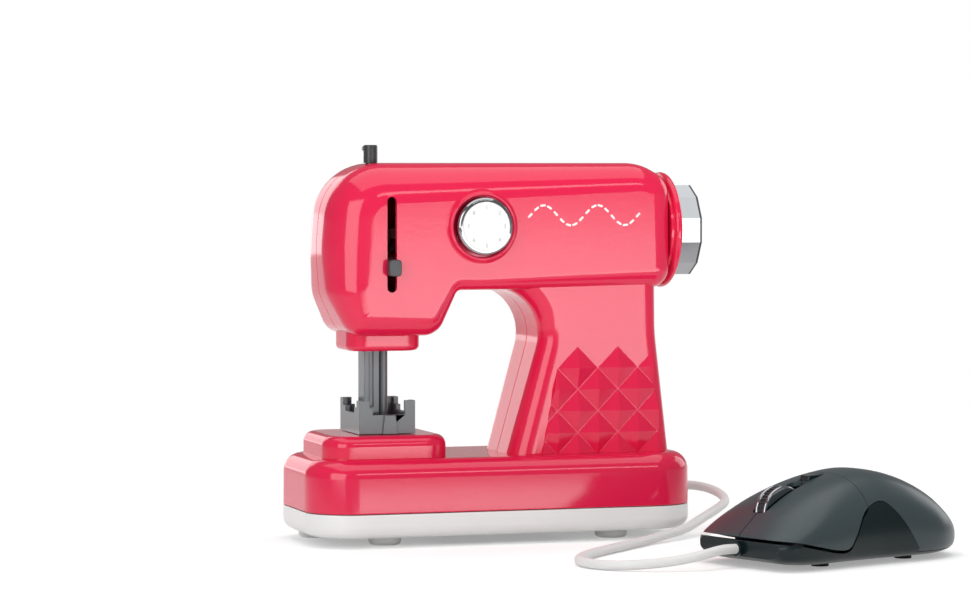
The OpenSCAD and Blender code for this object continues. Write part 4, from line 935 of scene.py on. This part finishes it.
def addStitches():
    # a row of white printed stitches that rises and falls along the arm
    run = stitches["lastX"] - stitches["firstX"]
    dashes = []
    for k in range(stitches["count"]):
        share = k / (stitches["count"] - 1)
        phase = 2 * pi * stitches["waves"] * share
        climb = stitches["swing"] * 2 * pi * stitches["waves"] * cos(phase) / run
        l, w = stitches["length"] / 2, stitches["width"] / 2
        dash = addBlock("stitch", (-l, -stitches["rise"], -w), (l, stitches["sunk"], w))
        chooseEdges(dash, lambda a, b: abs(a.y - b.y) > 0.1)
        bpy.ops.mesh.bevel(offset=stitches["end"], segments=4, profile=0.5)
        closeMesh()
        dash.rotation_euler = (0, -atan2(climb, 1), 0)
        dash.location = (stitches["firstX"] + run * share, -body["armHalf"],
                         stitches["middleZ"] + stitches["swing"] * sin(phase))
        applyPlace()
        dashes.append(dash)
    settle(joined("armStitches", dashes), "machine", whiteGloss)


addStitches()
print("trim is in place")


# Hand wheel, dial and needle

wheel = {
    "radius": 20.0, "width": 10.0, "edge": 0.9, "sides": 12, "spot": (81.5, 0, 131.3), "bore": 2.0, "boreEnd": 7.5,
    "lip": 4.0, "web": (4.5, 1.5), "bevel": 0.4, "edgeIn": 3.9, "edgeLip": 3.0, "edgeBevel": 0.15,
}


def flattedDisc(name, points, bevel):
    r, w = wheel["radius"], wheel["width"]
    disc = spinProfile(name, points, (1, 0, 0), wheel["spot"], wheel["sides"] * 8)
    flats = spinProfile("flats", [(0, -1), (r, -1), (r, w + 1), (0, w + 1)], (1, 0, 0), wheel["spot"], wheel["sides"])
    openWhole(flats)
    bpy.ops.transform.rotate(value=pi / wheel["sides"], orient_axis="X", center_override=wheel["spot"])
    closeMesh()
    cut(disc, flats, "INTERSECT")
    soften(disc, bevel, 3, 14)
    return disc


def addHandWheel():
    r, w, bore, deep = wheel["radius"], wheel["width"], wheel["bore"], wheel["boreEnd"]
    rim, (inner, drop) = w - wheel["edge"], wheel["web"]
    profile = [(bore, 0), (r, 0), (r, rim), (r - wheel["lip"], rim), (r - inner, w - drop), (0, w - drop),
               (0, deep), (bore, deep)]
    settle(flattedDisc("handWheel", profile, wheel["bevel"]), "wheel_train", chromePlate, ["hand_wheel"], 12)
    # painted shade: a dark plastic ring round the open end stands in for the dark band that the chrome rim shows
    profile = [(r - wheel["edgeIn"], rim), (r, rim), (r, w), (r - wheel["edgeLip"], w)]
    # this ring is painted shade on the chrome wheel, not a part of its own
    ring = flattedDisc("handWheelShadeRing", profile, wheel["edgeBevel"])
    settle(ring, "wheel_train", darkGloss, (), 12)


addHandWheel()

dial = {
    "foot": 12.2, "cap": 10.4, "height": 5.5, "gap": 0.3, "marks": 8, "markRadius": 8.0, "digit": 2.3,
    "footEdge": 0.4, "rim": 1.5, "capSunk": 0.8, "capEdge": [(0.06, 0), (0.06, 1.0), (0.3, 1.3), (0.8, 1.4)],
    "capHeight": 1.4, "print": 0.04,
}


def addDial():
    x, z, front = trim["dialX"], trim["dialZ"], -body["armHalf"] - dial["gap"]
    h, foot, c, edge, rim = dial["height"], dial["foot"], dial["cap"], dial["footEdge"], dial["rim"]
    seat = h - dial["capSunk"]
    profile = [(0, 0), (foot - edge, 0), (foot, edge)] + arcPoints((foot - rim, h - rim - 0.1), rim, 0, 80, 8)
    profile += [(c, h - 0.1), (c, seat), (0, seat)]
    knob = spinProfile("dialKnob", profile, (0, -1, 0), (x, front, z))
    settle(knob, "dial", chromePlate, ["dial_knob"], 25)
    profile = [(0, 0)] + [(c - inset, height) for inset, height in dial["capEdge"]] + [(0, dial["capHeight"])]
    cap = spinProfile("dialCap", profile, (0, -1, 0), (x, front - seat, z))
    settle(cap, "dial", whiteGloss, ["dial_cap"], 25)
    face = front - seat - dial["capHeight"]
    digits = []
    for k in range(dial["marks"]):
        turn = 2 * pi * k / dial["marks"]
        dropSelection()
        bpy.ops.object.text_add(location=(0, 0, 0))
        digit = bpy.context.object
        digit.data.body = str(k + 1)
        digit.data.size = dial["digit"]
        digit.data.extrude = dial["print"]
        digit.data.align_x = "CENTER"
        digit.data.align_y = "CENTER"
        bpy.ops.object.convert(target="MESH")
        digit = bpy.context.object
        openWhole(digit)
        bpy.ops.mesh.remove_doubles(threshold=0.0005)
        closeMesh()
        digit.rotation_euler = (pi / 2, 0, 0)
        digit.location = (x + dial["markRadius"] * sin(turn), face - dial["print"] / 2,
                          z + dial["markRadius"] * cos(turn))
        applyPlace()
        digits.append(digit)
    settle(joined("dialNumbers", digits), "dial", dialGrey)


addDial()


needle = [
    # name, node, edge rounding, material
    ("presserFoot", "presser_foot", 0.35, greyGloss),
    ("needleBar", "needle_bar", 0.4, greyGloss),
    ("needleRod", "needle_rod", 0.3, greyGloss),
    ("threadLever", "thread_lever", 0.5, darkGloss),
]


def addNeedle():
    for name, node, width, material in needle:
        piece = nodeCopy(name, node)
        soften(piece, width, 3, 40)
        settle(piece, "needle_train", material, [node], 30)


addNeedle()
print("wheel, dial and needle are in place")


# Hand control

control = {
    "length": 106.0, "width": 60.0, "height": 36.4, "belt": 9.0, "wall": 2.0, "buttonEnd": 46.0,
    "edge": 1.0, "gap": 0.25, "inside": (0.02, 0.965), "lowerGaps": (1.28, 0.28),
    "wheelSlot": ((9.5, -4, 0), (33.5, 4, 60)), "slotCorner": 2.5, "modeSlot": ((33.9, -2.85, 0), (43.3, 2.85, 60)),
    # share of the length, share of the width, share of the height, underside
    "sections": [
        (0, 0.78, 0.36, 4.6), (0.04, 0.92, 0.46, 2.8), (0.11, 0.98, 0.62, 1.8), (0.22, 1, 0.79, 1.5),
        (0.35, 0.97, 0.92, 1.5), (0.48, 0.95, 0.99, 1.5), (0.58, 0.96, 1, 1.5), (0.7, 0.98, 0.93, 1.5),
        (0.81, 0.94, 0.79, 1.5), (0.9, 0.8, 0.6, 2), (0.96, 0.6, 0.44, 3), (0.99, 0.38, 0.35, 4.6), (1, 0.2, 0.3, 6),
    ],
    # the parting line on the side: place along the control, height
    "wave": [
        (-6, 12.6), (5, 11.8), (14, 10), (25, 7.8), (32, 7.9), (36, 12.2), (42, 20.5), (49, 24.5), (55, 25),
        (59.5, 21.5), (64, 16), (68, 10), (71, 5.6), (75, 4), (112, 4),
    ],
}


def curveThrough(points, steps):
    # smooth line through the points, with the steps given for each stretch
    out = []
    for i in range(len(points) - 1):
        p0, p1 = Vector(points[max(i - 1, 0)]), Vector(points[i])
        p2, p3 = Vector(points[i + 1]), Vector(points[min(i + 2, len(points) - 1)])
        for k in range(steps):
            t = k / steps
            out.append(0.5 * (2 * p1 + (p2 - p0) * t + (2 * p0 - 5 * p1 + 4 * p2 - p3) * t * t
                              + (3 * p1 - p0 - 3 * p2 + p3) * t ** 3))
    out.append(Vector(points[-1]))
    return out


def power(value, exponent):
    return 0.0 if abs(value) < 1e-9 else (1 if value > 0 else -1) * abs(value) ** exponent


def controlRing(row, inset, sides):
    w = row[1] * control["width"] / 2 - inset
    top = row[2] * control["height"] - inset
    low = row[3] + inset
    belt = min(max(control["belt"], low + 1), top - 2)
    ring = []
    for k in range(sides):
        t = 2 * pi * k / sides
        c, s = cos(t), sin(t)
        if s >= 0:
            across, up = power(c, 0.8), belt + (top - belt) * power(s, 0.9)
        else:
            across, up = power(c, 0.5), belt - (belt - low) * min(1, 1.07 * power(-s, 0.6))
        ring.append(Vector((row[0] * control["length"], w * across, up)))
    return ring


def controlSkin(name):
    rows = curveThrough(control["sections"], 4)
    outer = growRings(name, [controlRing(row, 0, 72) for row in rows])
    soften(outer, control["edge"], 3, 50)
    first, last = control["inside"]
    rows = [row for row in rows if first < row[0] < last]
    inner = growRings("inside", [controlRing(row, control["wall"], 48) for row in rows])
    cut(outer, inner)
    return outer


def waveTool(name, dropButtons, dropRest):
    # everything above the parting line, which can drop by a gap under the buttons and under the rest
    line = [Vector((p.x, p.y - (dropButtons if p.x < control["buttonEnd"] else dropRest)))
            for p in curveThrough(control["wave"], 5)]
    points = line + [Vector((200, line[-1].y)), Vector((200, 90)), Vector((line[0].x, 90))]
    return growRings(name, [[Vector((p.x, y, p.y)) for p in points] for y in (-50, 50)])


def addControl():
    end, gap = control["buttonEnd"], control["gap"]
    lower = controlSkin("controlBase")
    top = doubled(lower, "control")
    cut(lower, waveTool("above", *control["lowerGaps"]))
    cut(top, waveTool("above", 0, 0), "INTERSECT")
    settle(lower, "machine", controlLower, ["mouse_base"], 35, True)
    for name, mover, node, low, high in (
            ("controlTop", "machine", "mouse_top", (end, -50, -5), (120, 50, 60)),
            ("controlLeft", "left_button", "mouse_left_button", (-10, gap, -5), (end - gap, 50, 60)),
            ("controlRight", "right_button", "mouse_right_button", (-10, -50, -5), (end - gap, -gap, 60))):
        piece = doubled(top, name)
        cut(piece, addBlock("part", low, high), "INTERSECT")
        if name != "controlTop":
            slot = addBlock("wheel slot", *control["wheelSlot"])
            roundUprights(slot, control["slotCorner"], 5)
            cut(piece, slot)
            cut(piece, addBlock("mode slot", *control["modeSlot"]))
        settle(piece, mover, controlUpper, [node], 35, True)
    bpy.data.objects.remove(top)


addControl()

scroll = {
    "along": 21.5, "z": 20.4, "radius": 11.0, "width": 6.4, "rim": 1.7, "bore": 1.55, "treadDrop": 1.1,
    "ribs": 40, "ribHalf": 0.3, "ribLow": 1.4, "ribHigh": 0.5, "ribEdge": 0.15, "modeEdge": 0.4,
}


def addScrollWheel():
    r, w, rim, bore = scroll["radius"], scroll["width"], scroll["rim"], scroll["bore"]
    spot = (scroll["along"], -w / 2, scroll["z"])
    rims = []
    for low in (0, w - rim):
        middle = (r - rim / 2, low + rim / 2)
        profile = [(bore, low), (r - rim / 2, low)] + arcPoints(middle, rim / 2, -80, 80, 8)
        profile += [(r - rim / 2, low + rim), (bore, low + rim)]
        rims.append(spinProfile("rim", profile, (0, 1, 0), spot, 72))
    settle(joined("scrollRims", rims), "scroll_wheel", chromePlate, (), 35, True)
    ground = r - scroll["treadDrop"]
    profile = [(bore, rim), (ground, rim), (ground, w - rim), (bore, w - rim)]
    tread = [spinProfile("tread", profile, (0, 1, 0), spot, 72)]
    half = scroll["ribHalf"]
    rib = addBlock("rib", (-half, -w / 2 + rim, r - scroll["ribLow"]), (half, w / 2 - rim, r - scroll["ribHigh"]))
    soften(rib, scroll["ribEdge"], 2)
    for k in range(scroll["ribs"]):
        copy = doubled(rib, "rib")
        copy.rotation_euler = (0, 2 * pi * k / scroll["ribs"], 0)
        copy.location = (scroll["along"], 0, scroll["z"])
        pick(copy)
        applyPlace()
        tread.append(copy)
    bpy.data.objects.remove(rib)
    settle(joined("scrollWheel", tread), "scroll_wheel", darkGloss, ["mouse_scroll_wheel"], 35, True)
    mode = nodeCopy("modeButton", "mouse_mode_button")
    soften(mode, scroll["modeEdge"], 3, 40)
    settle(mode, "mode_button", controlLower, ["mouse_mode_button"], 35)


addScrollWheel()
print("hand control is in place")


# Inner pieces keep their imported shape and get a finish

finishes = {
    "battery_door": whiteGloss, "door_screw": zincSteel, "batteries": cellWrap, "battery_contacts": zincSteel,
    "base_screws": zincSteel, "column_screws": zincSteel, "body_screws": zincSteel, "shaft_bush_left": gearWhite,
    "shaft_bush_right": gearWhite, "gearbox_frame": gearWhite, "gearbox_screws": zincSteel, "motor_can": zincSteel,
    "idler_pin": zincSteel, "cord_grommet": leadWhite, "main_shaft": zincSteel, "main_gear": gearWhite,
    "crank_disc": gearWhite, "crank_pin": zincSteel, "needle_yoke": gearWhite, "idler_gear": gearWhite,
    "motor_pinion": brassPlate, "motor_shaft": zincSteel, "dial_clip": zincSteel, "mouse_wheel_axle": zincSteel,
    "mouse_board": boardGreen, "mouse_switches": darkGloss, "mouse_screws": zincSteel, "mouse_feet": footRubber,
    "mouse_gland": controlLower,
}
for node, finish in finishes.items():
    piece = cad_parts[node]
    piece.data.materials.clear()
    piece.data.materials.append(finish)
print("inner pieces are finished")
